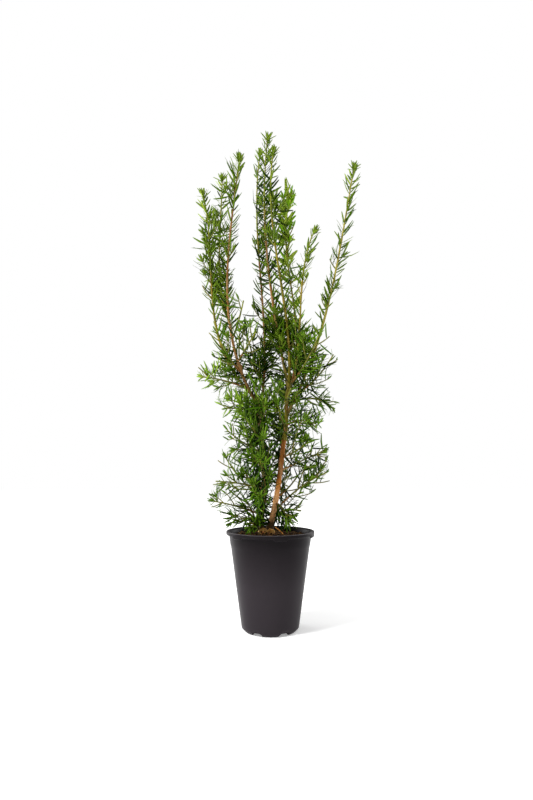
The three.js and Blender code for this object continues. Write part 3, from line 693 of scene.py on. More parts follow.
def grow_sprays(limbs, space, masses):
    """The side sprays that show, then those that fill the crown and find room, and the low ones last."""
    def add(curve, kind):
        """Adds a spray of one stem to the masses and to the space taken."""
        stem = Stem(curve, *SPRAY_RADII, SPRAY_STEPS, kind)
        mass = Mass(f"spray_{len(masses) + 1}", len(masses) + 1, [stem])
        masses.append(mass)
        space.add(mass.name, stem)

    def place(sprays):
        """Adds sprays whose roots and tips are given."""
        for limb, height, tip, rise in sprays:
            curve = limbs[limb][0].curve
            root = curve.at(curve.share_at_height(height))
            tip = np.array(tip, float)
            add(spray_curve(root, tip + unit(root - tip) * SPRAY_TIP_ROOM, rise), "spray")

    place(PLACED_SPRAYS)
    for i in range(FILL_COUNT):
        height = blend(FILL_LOW, FILL_HIGH, (i + 0.5) / FILL_COUNT)
        facing = (90 if i % 2 == 0 else 270) + FILL_SPREAD * (chance(i, 4) - 0.5)
        reach = FILL_REACH + FILL_REACH_SPREAD * (chance(i, 1) - 0.5)
        climb = FILL_CLIMB * (FILL_CLIMB_LEAST + chance(i, 2))
        for attempt in range(FILL_TRIES):
            turn = attempt * FILL_TRY_TURN * (1 if attempt % 2 == 0 else -1)
            outward = flat_direction(facing + turn)
            limb = limb_for_fill(height, "left" if outward[0] < 0 else "right")
            limb_curve = limbs[limb][0].curve
            root = limb_curve.at(limb_curve.share_at_height(height))
            tip = np.array([*CROWN_AXIS, height + climb]) + reach * outward
            curve = spray_curve(root, tip, FILL_RISE * (chance(i, 3) - 0.5))
            stem = Stem(curve, *SPRAY_RADII, SPRAY_STEPS, "spray")
            if space.holds(stem, None, limb, STEM_CLEARANCE):
                add(curve, "fill")
                break
    place(LOW_SPRAYS)


def drawn_places(points):
    """Where the front view draws points, as x and z on the plane through the pot's axis: an offset from
    the view's centre is drawn d / (d + y) times as large."""
    scale = VIEW_DISTANCE / (VIEW_DISTANCE + points[..., 1])
    x = VIEW_X + (points[..., 0] - VIEW_X) * scale
    z = VIEW_HEIGHT + (points[..., 2] - VIEW_HEIGHT) * scale
    return x, z


def in_open_sky(points):
    """Whether the front view draws points in one of the gaps, or outside the crown's outline."""
    x, z = drawn_places(points)
    open_sky = np.zeros(x.shape, bool)
    for gap in SKY_GAPS:
        heights, lefts, rights = np.array(gap, float).T
        between = (x > np.interp(z, heights, lefts)) & (x < np.interp(z, heights, rights))
        open_sky |= between & (z > heights[0]) & (z < heights[-1])
    heights, lefts, rights = np.array(CROWN_OUTLINE, float).T
    outside = (x < np.interp(z, heights, lefts)) | (x > np.interp(z, heights, rights))
    return open_sky | (outside & (z < heights[-1]))


def share_kept(points):
    """The share of needles kept at points: all of them, or fewer in a thin place of the front view."""
    x, z = drawn_places(points)
    kept = np.ones(x.shape)
    for left, right, low, high, share in THIN_PLACES:
        kept[(x > left) & (x < right) & (z > low) & (z < high)] = share
    return kept


def hides_wood(points):
    """Whether points lie before a stretch of wood that shows clear: nearer than the stem's curve, and
    within a half width of it where the front view draws them."""
    x, z = drawn_places(points)
    hidden = np.zeros(x.shape, bool)
    for name, low, high, half_width in CLEAR_WOOD:
        path = STEMS[name][0] if name in STEMS else LEADERS[name][0]
        course = Bezier(*path).at(np.linspace(0, 1, 60))
        wood_x, wood_z = drawn_places(course)
        beside = np.abs(x - np.interp(z, wood_z, wood_x)) < half_width
        nearer = points[..., 1] < np.interp(z, wood_z, course[:, 1])
        hidden |= (z > low) & (z < high) & nearer & beside
    return hidden


def try_twig(mass, parent, share, direction, length, space, kind="twig"):
    """A side twig that bends towards its parent's run. It is left out where it would touch, and a fine
    one where it would hide clear wood or stand in open sky."""
    root, along = parent.curve.at(share), parent.curve.along(share)
    middle = root + direction * length * 0.5
    tip = root + direction * length * TWIG_OUT + along * length * TWIG_FORWARD + UP * length * TWIG_LIFT
    twig = Stem(Bezier(root, middle, tip), *TWIG_RADII[kind], TWIG_STEPS, kind)
    course = twig.curve.at(np.linspace(0.2, 1, 9))
    hidden = kind == "fine" and (hides_wood(course) | in_open_sky(course)).any()
    if not hidden and space.holds(twig, mass.name, None, SPACE_GAP):
        mass.stems.append(twig)
        space.add(mass.name, twig)


def grow_twigs(mass, space):
    """A leader's laterals leave at their azimuths, and a spray's twigs leave to alternate sides, shorter
    towards its tip."""
    stem, seed = mass.stems[0], mass.seed
    for share, azimuth, length in mass.laterals or []:
        try_twig(mass, stem, share, unit(flat_direction(azimuth) + UP * LATERAL_CLIMB), length, space)
    if mass.kind == "shoot":
        return
    length = stem.curve.length()
    count = int(length / TWIG_SPACING)
    for i in range(count):
        share = blend(*TWIG_RUN, i / (count - 1) if count > 1 else 0.5)
        roll = TWIG_PLANE_ROLL * (1 if seed % 2 == 0 else -1) * (0.5 + chance(seed, 10))
        along, side, _ = frame_at(stem.curve, share, UP, math.radians(roll))
        hand = 1 if (i + seed) % 2 == 0 else -1
        angle = math.radians(TWIG_ANGLE + TWIG_ANGLE_SPREAD * (chance(seed, 20 + i) - 0.5))
        direction = along * math.cos(angle) + side * hand * math.sin(angle)
        twig_length = length * TWIG_SHARE * (1 - 0.5 * share) * (0.85 + 0.3 * chance(seed, 40 + i))
        try_twig(mass, stem, share, direction, twig_length, space)


def grow_fine_twigs(mass, space):
    """Finer twigs by the same rule, dealt round every stem and twig by the golden angle, or to both
    sides of a spray, and turned up. The direction is a cos(t) + r sin(t) + u UP, made a unit."""
    seed, draw = mass.seed, 100
    for parent in list(mass.stems):
        groups = [] if mass.name in PLAIN_LEADERS else FINE_TWIGS[parent.kind]
        if parent.kind != "twig":
            groups = groups + EXTRA_TWIGS.get(mass.name, [])
        reference = RIGHT if parent.kind == "leader" else UP
        for count, low, high, lengths, angle, rise in groups:
            for i in range(count):
                draw += 1
                level = blend(low, high, (i + 0.3 + 0.4 * chance(seed, draw + 500)) / count)
                share = blend(parent.start, 1, level)
                spin = i * GOLDEN_ANGLE + 360 * chance(seed, 60)
                if parent.kind != "leader":
                    spin = 180 * (i % 2) + 90 * (chance(seed, draw) - 0.5)
                along, side, _ = frame_at(parent.curve, share, reference, math.radians(spin))
                lean = math.radians(angle + TWIG_ANGLE_SPREAD * (chance(seed, draw + 1000) - 0.5))
                direction = unit(along * math.cos(lean) + side * math.sin(lean) + UP * rise)
                length = blend(*lengths, chance(seed, draw + 1500))
                try_twig(mass, parent, share, direction, length, space, "fine")


def grow_masses(limbs, space):
    """Shoots first, then sprays, then their twigs, and the finer twigs last, as each finds its room."""
    masses = []
    for name, (path, foot, bough, laterals, brown) in LEADERS.items():
        stem = Stem(Bezier(*path), foot, LEADER_TIP_RADIUS, 9, "leader", bough)
        masses.append(Mass(f"shoot_{name}", len(masses) + 1, [stem], laterals, brown))
        space.add(f"shoot_{name}", stem, bough, 1.0)
    grow_sprays(limbs, space, masses)
    for mass in masses:
        grow_twigs(mass, space)
    for mass in masses:
        grow_fine_twigs(mass, space)
    return masses


# Meshes


@dataclass
class Shape:
    """Vertices in millimetres, faces with four and three corners, and values for each vertex."""
    vertices: np.ndarray
    quads: np.ndarray
    triangles: np.ndarray
    values: dict = field(default_factory=dict)


def joined(shapes):
    """Several shapes as one, with their corner numbers moved up."""
    starts = np.concatenate([[0], np.cumsum([len(s.vertices) for s in shapes])[:-1]])
    names = shapes[0].values.keys()
    return Shape(
        np.concatenate([s.vertices for s in shapes]),
        np.concatenate([s.quads + n for s, n in zip(shapes, starts)]),
        np.concatenate([s.triangles + n for s, n in zip(shapes, starts)]),
        {k: np.concatenate([s.values[k] for s in shapes]) for k in names},
    )


def add_object(name, data):
    """A new object with its data, linked to the scene."""
    added = bpy.data.objects.new(name, data)
    bpy.context.scene.collection.objects.link(added)
    return added


def put_mesh(name, shape, material, replaces=()):
    """Makes the Blender object of a shape, at the origin, and lets it ride on the plant."""
    mesh = bpy.data.meshes.new(name)
    mesh.vertices.add(len(shape.vertices))
    mesh.vertices.foreach_set("co", (shape.vertices * MM).astype(np.float32).ravel())
    sizes = np.concatenate([np.full(len(shape.quads), 4), np.full(len(shape.triangles), 3)])
    corners = np.concatenate([shape.quads.ravel(), shape.triangles.ravel()])
    mesh.loops.add(len(corners))
    mesh.loops.foreach_set("vertex_index", corners.astype(np.int32))
    mesh.polygons.add(len(sizes))
    mesh.polygons.foreach_set("loop_start", (np.cumsum(sizes) - sizes).astype(np.int32))
    mesh.polygons.foreach_set("use_smooth", np.ones(len(sizes), bool))
    mesh.update(calc_edges=True)
    mesh.validate()
    for key, values in shape.values.items():
        mesh.attributes.new(key, "FLOAT", "POINT").data.foreach_set("value", values.astype(np.float32))
    mesh.materials.append(material)
    piece = add_object(name, mesh)
    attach(piece, "root")
    if replaces:
        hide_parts(*replaces)
    return piece


def grid_quads(rows, columns):
    """Faces of a grid whose columns close on themselves: corner (i, j) is number i * columns + j."""
    i, j = np.meshgrid(np.arange(rows - 1), np.arange(columns), indexing="ij")
    k = (j + 1) % columns
    a, b, c, d = i * columns + j, i * columns + k, (i + 1) * columns + k, (i + 1) * columns + j
    return np.stack([a, b, c, d], -1).reshape(-1, 4)


def closed_grid(points, values=None):
    """A closed shape from rings of points: the rings are joined by quads, and each end ring by a fan."""
    rows, columns = points.shape[:2]
    ends = np.stack([points[0].mean(0), points[-1].mean(0)])
    vertices = np.concatenate([points.reshape(-1, 3), ends])
    j = np.arange(columns)
    k = (j + 1) % columns
    bottom, top = rows * columns, rows * columns + 1
    last = (rows - 1) * columns
    low = np.stack([k, j, np.full(columns, bottom)], -1)
    high = np.stack([last + j, last + k, np.full(columns, top)], -1)
    shape = Shape(vertices, grid_quads(rows, columns), np.concatenate([low, high]))
    for key, table in (values or {}).items():
        shape.values[key] = np.concatenate([table.ravel(), [table[0].mean(), table[-1].mean()]])
    return shape


def tube(curve, radius, sides, rings, low=0.0, high=1.0, relief=None):
    """Rings round a curve: point + r cos(t) side - r sin(t) over, with r from radius(share) and the
    relief."""
    share = np.linspace(low, high, rings)
    chord = unit(curve.at(high) - curve.at(low))
    along, side, over = frame_at(curve, share, RIGHT if abs(chord[2]) > 0.7 else UP)
    turn = np.linspace(0, 2 * math.pi, sides, endpoint=False)
    ring = side[:, None] * np.cos(turn)[:, None] - over[:, None] * np.sin(turn)[:, None]
    r = np.broadcast_to(np.asarray(radius(share))[:, None], (rings, sides))
    if relief is not None:
        r = r + relief(share, turn, curve.at(share)[:, None] + ring * r[..., None])
    points = curve.at(share)[:, None] + ring * r[..., None]
    return closed_grid(points, {"age": np.broadcast_to(share[:, None], (rings, sides))})


# Pot


def wall_radius(height):
    """The wall's outer radius at a height: it widens evenly from the foot up."""
    return WALL_BASE_RADIUS + (height - FOOT_CHAMFER_HEIGHT) * WALL_SLOPE


def sectors(azimuths, first, angle, ramp):
    """1 inside evenly spaced sectors of a turn, 0 outside them, with a ramp at each side, in degrees."""
    step = 360 / POT_REPEATS
    from_middle = np.abs((azimuths - first + step / 2) % step - step / 2)
    return 1 - smooth_step(angle / 2 - ramp / 2, angle / 2 + ramp / 2, from_middle)


def arc(radius, height, size, start, end, count=5):
    """Points round part of a circle in the profile plane, from one angle to the other in degrees."""
    turn = np.radians(np.linspace(start, end, count))
    return [[radius + size * math.cos(t), height + size * math.sin(t)] for t in turn]


def pot_profile():
    """The pot's profile as named runs of radius and height, from the middle of its underside, up the
    outside, over the lip and down to the middle of its floor. Steps under 2 mm round its edges."""
    pad, inner, outer, base = CENTRE_PAD_RADIUS, FOOT_INNER_RADIUS, FOOT_OUTER_RADIUS, WALL_BASE_RADIUS
    lip_middle = LIP_RADIUS - LIP_ROUND
    collar = [[wall_radius(h) + COLLAR_STEP, h]
              for h in np.linspace(COLLAR_HEIGHT + 1, LIP_BOTTOM - 1.5, 5)]
    return {
        "underside": [[3, 0], [pad - 1, 0], [pad, 1], [pad, FLOOR_BOTTOM], [inner - 0.6, FLOOR_BOTTOM]],
        "foot": [[inner, FLOOR_BOTTOM - 0.8], [inner, 0.4], [inner + 0.4, 0], [outer - 0.6, 0],
                 [outer, 0.4], [base - 0.7, FOOT_CHAMFER_HEIGHT - 0.9], [base, FOOT_CHAMFER_HEIGHT + 0.6]],
        "wall": [[wall_radius(h), h] for h in np.linspace(14, COLLAR_HEIGHT - 1.2, 12)],
        "collar": collar,
        "lip step": [[collar[-1][0] + 0.5, LIP_BOTTOM - 0.3]],
        "lip underside": arc(lip_middle, LIP_BOTTOM + LIP_ROUND, LIP_ROUND, -90, 0),
        "lip top": arc(lip_middle, POT_HEIGHT - LIP_ROUND, LIP_ROUND, 0, 90),
        "rim": [[wall_radius(POT_HEIGHT) + LIP_ROUND - WALL, POT_HEIGHT]],
        "inside": [[wall_radius(h) - WALL, h] for h in np.linspace(POT_HEIGHT - 4, FLOOR_TOP + 2, 12)],
        "floor": [[wall_radius(FLOOR_TOP) - WALL - 1.5, FLOOR_TOP], [20, FLOOR_TOP], [3, FLOOR_TOP]],
    }


def make_pot(material):
    """The profile turned round Z. The foot's underside is lifted in six notches, and the lip's underside
    is lowered in six tabs. The drain holes are cut afterwards."""
    runs = pot_profile()
    profile = np.array(sum(runs.values(), []))
    ends = np.cumsum([len(run) for run in runs.values()])
    rows = {name: slice(end - len(run), end) for (name, run), end in zip(runs.items(), ends)}
    azimuth = np.linspace(0, 360, POT_SIDES, endpoint=False)
    radius = np.repeat(profile[:, :1], POT_SIDES, 1)
    height = np.repeat(profile[:, 1:], POT_SIDES, 1)
    notches = NOTCH_HEIGHT * sectors(azimuth, FIRST_NOTCH_AZIMUTH, NOTCH_ANGLE, NOTCH_RAMP)
    height[rows["foot"]] = np.maximum(height[rows["foot"]], notches)
    tabs = TAB_DEPTH * sectors(azimuth, FIRST_TAB_AZIMUTH, TAB_ANGLE, TAB_RAMP)
    height[rows["lip underside"]] -= tabs
    turn = np.radians(azimuth)
    shape = closed_grid(np.stack([radius * np.cos(turn), radius * np.sin(turn), height], -1))
    pot = put_mesh("pot_shell", shape, material, ["pot"])
    cut_drain_holes(pot)


def cut_drain_holes(pot):
    """Six round holes through the floor, cut by closed cylinders that are then removed."""
    drains = []
    for i in range(POT_REPEATS):
        centre = DRAIN_CIRCLE * flat_direction(FIRST_NOTCH_AZIMUTH + i * 360 / POT_REPEATS)
        line = Bezier(centre + UP * (FLOOR_BOTTOM - 2), centre + UP * (FLOOR_TOP + 2))
        drains.append(tube(line, lambda share: np.full(len(share), DRAIN_RADIUS), 24, 2))
    shape = joined(drains)
    mesh = bpy.data.meshes.new("drain_cutter")
    faces = [tuple(f) for f in shape.quads.tolist()] + [tuple(f) for f in shape.triangles.tolist()]
    mesh.from_pydata((shape.vertices * MM).tolist(), [], faces)
    cutter = add_object("drain_cutter", mesh)
    cut = pot.modifiers.new("drain holes", "BOOLEAN")
    cut.operation = "DIFFERENCE"
    cut.solver = "EXACT"
    cut.object = cutter
    bpy.context.view_layer.update()
    finished = bpy.data.meshes.new_from_object(pot.evaluated_get(bpy.context.evaluated_depsgraph_get()))
    pot.modifiers.clear()
    pot.data = finished
    bpy.data.objects.remove(cutter)


# Soil


def soil_height(x, y):
    """The soil's top: flat in the middle, falling to the wall, with lumps of three sizes."""
    radius = np.hypot(x, y)
    fall = smooth_step(SOIL_FLAT_RADIUS, wall_radius(SOIL_EDGE_HEIGHT), radius)
    flat = np.stack([x, y, np.zeros_like(x)], -1)
    lumps = sum(height * ripple(flat, length, seed) for height, length, seed in SOIL_LUMPS)
    return blend(SOIL_TOP, SOIL_EDGE_HEIGHT, fall) + lumps


def make_soil(material):
    """A body that fills the pot: rings across the lumpy top, down the wall and back under it."""
    def inside(height):
        """The radius of the soil's side at a height, just inside the wall."""
        return wall_radius(height) - WALL - SOIL_GAP

    turn = np.linspace(0, 2 * math.pi, SOIL_SIDES, endpoint=False)
    top_radii = np.linspace(1, inside(SOIL_EDGE_HEIGHT) - 0.5, SOIL_RINGS)
    x, y = np.outer(top_radii, np.cos(turn)), np.outer(top_radii, np.sin(turn))
    top = np.stack([x, y, soil_height(x, y)], -1)
    low = FLOOR_TOP + SOIL_GAP
    heights = np.array([SOIL_EDGE_HEIGHT - 4, 120, 60, low])
    radii = np.append(inside(heights), 2)
    heights = np.append(heights, low)
    side = np.stack([np.outer(radii, np.cos(turn)), np.outer(radii, np.sin(turn)),
                     np.repeat(heights[:, None], SOIL_SIDES, 1)], -1)
    shape = closed_grid(np.concatenate([top, side])[::-1])
    put_mesh("potting_mix", shape, material, ["soil"])


def make_crumbs(materials):
    """Crumbs and bark chips on the soil: boxes with their corners pushed about, turned at random and
    partly sunk."""
    random = np.random.default_rng(CRUMB_SEED)
    box = np.array([[x, y, z] for z in (-1, 1) for x, y in ((-1, -1), (1, -1), (1, 1), (-1, 1))], float)
    faces = np.array([[3, 2, 1, 0], [4, 5, 6, 7], [0, 1, 5, 4], [1, 2, 6, 5], [2, 3, 7, 6], [3, 0, 4, 7]])
    for (name, count, sizes, stretch), material in zip(CRUMB_KINDS, materials):
        radius = (wall_radius(SOIL_EDGE_HEIGHT) - WALL - CRUMBS_FROM_WALL) * np.sqrt(random.random(count))
        turn = random.uniform(0, 2 * math.pi, count)
        x, y = radius * np.cos(turn), radius * np.sin(turn)
        size = random.uniform(*sizes, count)[:, None, None]
        pushed = box * (1 + random.uniform(*CRUMB_CORNERS, (count, 8, 3)))
        corners = pushed * np.array([stretch, 1, CRUMB_THICKNESS]) * size / 2
        along = unit(random.normal(size=(count, 3)) * [1, 1, CRUMB_SLOPE])
        rolled = random.normal(size=(count, 3)) * [CRUMB_ROLL, CRUMB_ROLL, 1]
        side = unit(np.cross(along, rolled))
        axes = np.stack([along, side, np.cross(along, side)], 1)
        place = np.stack([x, y, soil_height(x, y) + CRUMB_LIFT * size[:, 0, 0]], -1)
        vertices = (place[:, None] + corners @ axes).reshape(-1, 3)
        quads = (faces[None] + 8 * np.arange(count)[:, None, None]).reshape(-1, 4)
        shape = Shape(vertices, quads, np.zeros((0, 3), int))
        put_mesh(name, shape, material)


# Needles


@dataclass
class NeedleRows:
    """Needles as columns of arrays: root, direction, upper side, bend vector, length and width."""
    root: np.ndarray
    direction: np.ndarray
    upper: np.ndarray
    bend: np.ndarray
    length: np.ndarray
    width: np.ndarray

    def take(self, chosen):
        """The chosen needles only."""
        return NeedleRows(*(getattr(self, key)[chosen] for key in self.__dataclass_fields__))

    def tips(self):
        """Where the blades end: root + L (d + b)."""
        return self.root + self.length[:, None] * (self.direction + self.bend)


def stacked(rows):
    """Several sets of needles as one."""
    keys = NeedleRows.__dataclass_fields__
    return NeedleRows(*(np.concatenate([getattr(row, key) for row in rows]) for key in keys))


def needle_shape(rows):
    """Closed blades: the midline is root + L (s d + s^2 b). Each of four rings across it has a left
    edge, a ridge above, a right edge and a keel below, and all meet in the tip."""
    count, rings, sides = len(rows.length), len(NEEDLE_RUN), 4
    tip = rings * sides
    side = unit(np.cross(rows.direction, rows.upper))
    over = np.cross(side, rows.direction)
    run = NEEDLE_RUN[None, :, None]
    forward = run * rows.direction[:, None] + run ** 2 * rows.bend[:, None]
    middle = rows.root[:, None] + rows.length[:, None, None] * forward
    half = rows.width[:, None, None] / 2 * NEEDLE_HALF_WIDTH[None, :, None] * side[:, None]
    ridge = NEEDLE_RIDGE[None, :, None] * over[:, None]
    keel = NEEDLE_KEEL[None, :, None] * over[:, None]
    blades = np.stack([middle - half, middle + ridge, middle + half, middle - keel], 2)
    vertices = np.concatenate([blades.reshape(count, tip, 3), rows.tips()[:, None]], 1)
    body = grid_quads(rings, sides)[:, [0, 3, 2, 1]]
    base = np.arange(sides)[None]
    last = tip - sides
    cap = np.array([[last + n, tip, last + (n + 1) % sides] for n in range(sides)])
    starts = (tip + 1) * np.arange(count)[:, None, None]
    under = np.tile(np.append(np.tile([0.5, 0, 0.5, 1], rings), 0.4), count)
    run_values = np.tile(np.append(np.repeat(NEEDLE_RUN, sides), 1.0), count)
    return Shape(vertices.reshape(-1, 3),
                 (np.concatenate([body, base])[None] + starts).reshape(-1, 4),
                 (cap[None] + starts).reshape(-1, 3),
                 {"under": under, "run": run_values})


def needles_on(stem, random, low=None, high=1.0, closeness=1):
    """Needles along a stem: some by the golden angle, and most in two ranks, to the left and the right
    of an upright stem, and above and below one that lies flat."""
    low = stem.start if low is None else low
    habit = HABITS[stem.kind]
    count = max(FEWEST_NEEDLES, int(stem.curve.length() * (high - low) / (habit.gap * closeness)))
    level = (np.arange(count) + 0.5 + random.uniform(-PLACE_STRAY, PLACE_STRAY, count)) / count
    share = blend(low, high, level)
    upright_kind = stem.kind in UPRIGHT_KINDS
    upright = smooth_step(*UPRIGHT_CLIMB, np.abs(stem.curve.along(share)[:, 2]))
    if upright_kind:
        upright = np.ones(count)
    stands = upright[:, None] > 0.5
    along, side, over = frame_at(stem.curve, share, np.where(stands, RIGHT, UP))
    around = np.radians(GOLDEN_ANGLE) * np.arange(count) + random.normal(0, TURN_STRAY, count)
    to_the_sides = math.pi * (np.arange(count) + 0.5) + random.normal(0, PAIR_SPREAD, count)
    around = np.where(random.random(count) < PAIRED_SHARE, to_the_sides, around)
    standing = blend(STANDING, 1, upright)
    radial = unit(side * np.cos(around)[:, None] + over * (standing * np.sin(around))[:, None])
    age = share if upright_kind else level
    lean = blend(*habit.angles, age) - TIP_CLOSING * smooth_step(*TIP_CLOSING_RUN, level)
    direction = leaning(along, radial, lean + random.normal(0, ANGLE_STRAY, count))
    upper = square_to(np.where(stands, along, over), direction)
    upper = turned(upper, direction, random.normal(0, TWIST, count))
    forward = random.normal(habit.bend, BEND_STRAY, count)
    curl = random.normal(MEAN_CURL, UPRIGHT_CURL if upright_kind else SIDE_CURL, count)
    bend = upper * curl[:, None] + along * forward[:, None]
    length = blend(*habit.lengths, age) * random.uniform(*LENGTH_STRAY, count)
    length *= 1 - TIP_SHORTENING * smooth_step(*TIP_SHORTENING_RUN, level)
    length *= blend(FIRST_LENGTH, 1, smooth_step(*FIRST_RUN, level))
    root = stem.curve.at(share) + radial * (stem.radius(share) * ROOT_DEPTH)[:, None]
    width = habit.width * random.uniform(*WIDTH_STRAY, count)
    return NeedleRows(root, direction, upper, bend, length, width), level


def rosette(stem, random, star=False):
    """A tuft of short young needles round a stem's tip, from nearly straight on to well spread. A star
    has longer blades, spread more widely."""
    count, angles, lengths = TUFTS.get("star" if star else stem.kind, SMALL_TUFT)
    order = np.arange(count)
    level = order / count
    steep = abs(stem.curve.along(1.0)[2]) > TUFT_CLIMB
    along, side, over = frame_at(stem.curve, 1.0, RIGHT if steep else UP)
    around = np.radians(GOLDEN_ANGLE) * order + random.uniform(*TUFT_TURNS)
    radial = side * np.cos(around)[:, None] + over * np.sin(around)[:, None]
    lean = blend(*angles, level) + random.normal(0, TUFT_ANGLE_STRAY, count)
    direction = leaning(along, radial, lean)
    upper = square_to(along, direction)
    root = stem.curve.at(1.0) - along * (level * TUFT_DEPTH)[:, None] + radial * TUFT_OUT
    length = blend(*lengths, level) * random.uniform(*TUFT_LENGTH_STRAY, count)
    bend = upper * random.normal(*TUFT_CURL, count)[:, None]
    return NeedleRows(root, direction, upper, bend, length, np.full(count, SPRAY_HABIT.width))


def deal_tints(mass, stem, rows, level, random):
    """A tint number for each needle: by the mass, whose tints paint its light and shade, lighter towards
    the tips and out of the crown's inside, as painted light and shade, with a few strays."""
    def gain(light, value):
        """A light's gain, by how far a value is between its start and its end."""
        return light[0] * smooth_step(*light[1:], value)

    middle, spread = TINT_BASES[mass.kind]
    lift, tuft = MASS_LIGHT.get(mass.name, PLAIN_LIGHT)
    tone = middle + spread * (chance(mass.seed, 77) - 0.5) + lift
    tone += gain(OUTER_STEM_LIGHT, np.hypot(*(stem.curve.at(1.0)[:2] - CROWN_AXIS)))
    if mass.kind == "spray":
        tone = tone + gain(OUTER_ROOT_LIGHT, np.hypot(*(rows.root[:, :2] - CROWN_AXIS).T))
    tone = tone + gain(TIP_LIGHT, level) + random.normal(0, TINT_STRAY, len(level))
    lightest = max(TINTS.index(tuft), TINTS.index("bright"))
    return np.clip(np.round(tone), 0, lightest).astype(int)


def needles_kept(mass, rows, random):
    """Which needles stay: those that clear the pot and reach no further than the solids, hide no clear
    wood and stand in no open sky, less those that thin places and sparse masses leave out by chance."""
    tips = rows.tips()
    middles = (tips + rows.root) / 2
    kept = above_the_pot(tips, NEEDLE_CLEARANCE) & ((tips > REACH[0]) & (tips < REACH[1])).all(1)
    for points in (tips, middles):
        kept &= ~(hides_wood(points) | in_open_sky(points))
    return kept & (random.random(len(tips)) < share_kept(middles) * SPARSE_MASSES.get(mass.name, 1))


def make_foliage(masses, limbs, materials):
    """All needles, dealt into tints and joined into pieces for the shoots and for the sprays."""
    random = np.random.default_rng(FOLIAGE_SEED)
    dealt = {}

    def deal(mass, rows, tints):
        """Deals a stem's needles by tint, without those that don't stay."""
        kept = needles_kept(mass, rows, random)
        rows, tints = rows.take(kept), tints[kept]
        for tint in np.unique(tints):
            dealt.setdefault((mass.kind, tint), []).append((mass.name, rows.take(tints == tint)))

    for mass in masses:
        tuft_tint = TINTS.index(MASS_LIGHT.get(mass.name, PLAIN_LIGHT)[1])
        for stem in mass.stems:
            rows, level = needles_on(stem, random, closeness=DENSE_MASSES.get(mass.name, 1))
            rows.width *= WIDER_MASSES.get(mass.name, 1)
            deal(mass, rows, deal_tints(mass, stem, rows, level, random))
            tuft = rosette(stem, random, mass.name in STAR_MASSES and stem is mass.stems[0])
            deal(mass, tuft, np.full(len(tuft.length), tuft_tint))
        limb = mass.name.replace("shoot_", "bough_")
        if limb in limbs:
            stem, bough = limbs[limb]
            bare = replace(stem, kind="bough")
            rows, level = needles_on(bare, random, BOUGH_NEEDLES_FROM * bough, bough)
            deal(mass, rows, np.where(random.random(len(level)) < BOUGH_DEEP_SHARE, 0, 1))
    for limb, name, habit, low, high, tints in LIMB_NEEDLES:
        mass = next(m for m in masses if m.name == name)
        rows, level = needles_on(replace(limbs[limb][0], kind=habit), random, low, high)
        deal(mass, rows, random.choice(tints, len(level)))
    for (kind, tint), parts in sorted(dealt.items()):
        rows = stacked([part for _, part in parts])
        names = sorted({name for name, _ in parts})
        pieces = math.ceil(len(rows.length) / NEEDLES_PER_PIECE)
        for n, chosen in enumerate(np.array_split(np.arange(len(rows.length)), pieces)):
            name = f"{kind}_needles_{TINTS[tint]}" + (f"_{n + 1}" if pieces > 1 else "")
            material = materials[kind, TINTS[tint]]
            put_mesh(name, needle_shape(rows.take(chosen)), material, names)


def bark_cuts(mass, stem):
    """The barks along a stem, each with the shares between which it shows: brown low down, then olive
    or moss, then green."""
    if stem.kind == "leader":
        middle, top = ("pale", "pale") if mass.name in PALE_LEADERS else ("olive", "green")
        brown_end, green_start = max(stem.start, mass.brown), max(mass.brown, GREEN_BARK_FROM)
        return [("brown", stem.start, brown_end), (middle, brown_end, green_start),
                (top, green_start, 1.0)]
    if stem.kind in ("spray", "fill"):
        return SPRAY_BARKS
    return [("moss", 0.0, 1.0)]


def make_stems(masses, materials):
    """Stems and twigs as tubes with low ridges, joined by bark."""
    shapes = {}
    for mass in masses:
        for stem in mass.stems:
            rings = max(5, int(stem.curve.length() / STEM_RING_GAP))
            sides = STEM_SIDES if stem.kind in ("leader", "spray", "fill") else TWIG_SIDES

            def ridges(share, turn, points, stem=stem, seed=mass.seed):
                """Low ridges that wind round the stem, and a fine noise, as shares of its radius."""
                wave = np.cos(RIDGES * turn[None] + RIDGE_WINDING * share[:, None])
                noise = ripple(points, STEM_NOISE_LENGTH, seed)
                return stem.radius(share)[:, None] * (RIDGE_HEIGHT * wave + STEM_NOISE * noise)

            for bark, low, high in bark_cuts(mass, stem):
                if high - low < SHORTEST_BARK:
                    continue
                part = max(3, int(rings * (high - low)) + 1)
                low = max(0.0, low - BARK_OVERLAP)
                shape = tube(stem.curve, stem.radius, sides, part, low, high, ridges)
                shapes.setdefault((mass.kind, bark), []).append((mass.name, shape))
    for (kind, bark), parts in sorted(shapes.items()):
        names = sorted({name for name, _ in parts})
        shape = joined([part for _, part in parts])
        put_mesh(f"{kind}_stems_{bark}", shape, materials[bark], names)


# Bark


def flakes(size, seed):
    """Bark relief: long plates that run up the limb, with a finer grain, as an offset of the radius."""
    def relief(share, turn, points):
        """Both noises are drawn out upwards, the plates the more."""
        plates, grain = (ripple(points * [1, 1, drawn_out], width * size, seed + n)
                         for n, (_, width, drawn_out) in enumerate((PLATES, GRAIN)))
        return size * (PLATES[0] * np.abs(plates) + GRAIN[0] * grain - RELIEF_SUNK)
    return relief


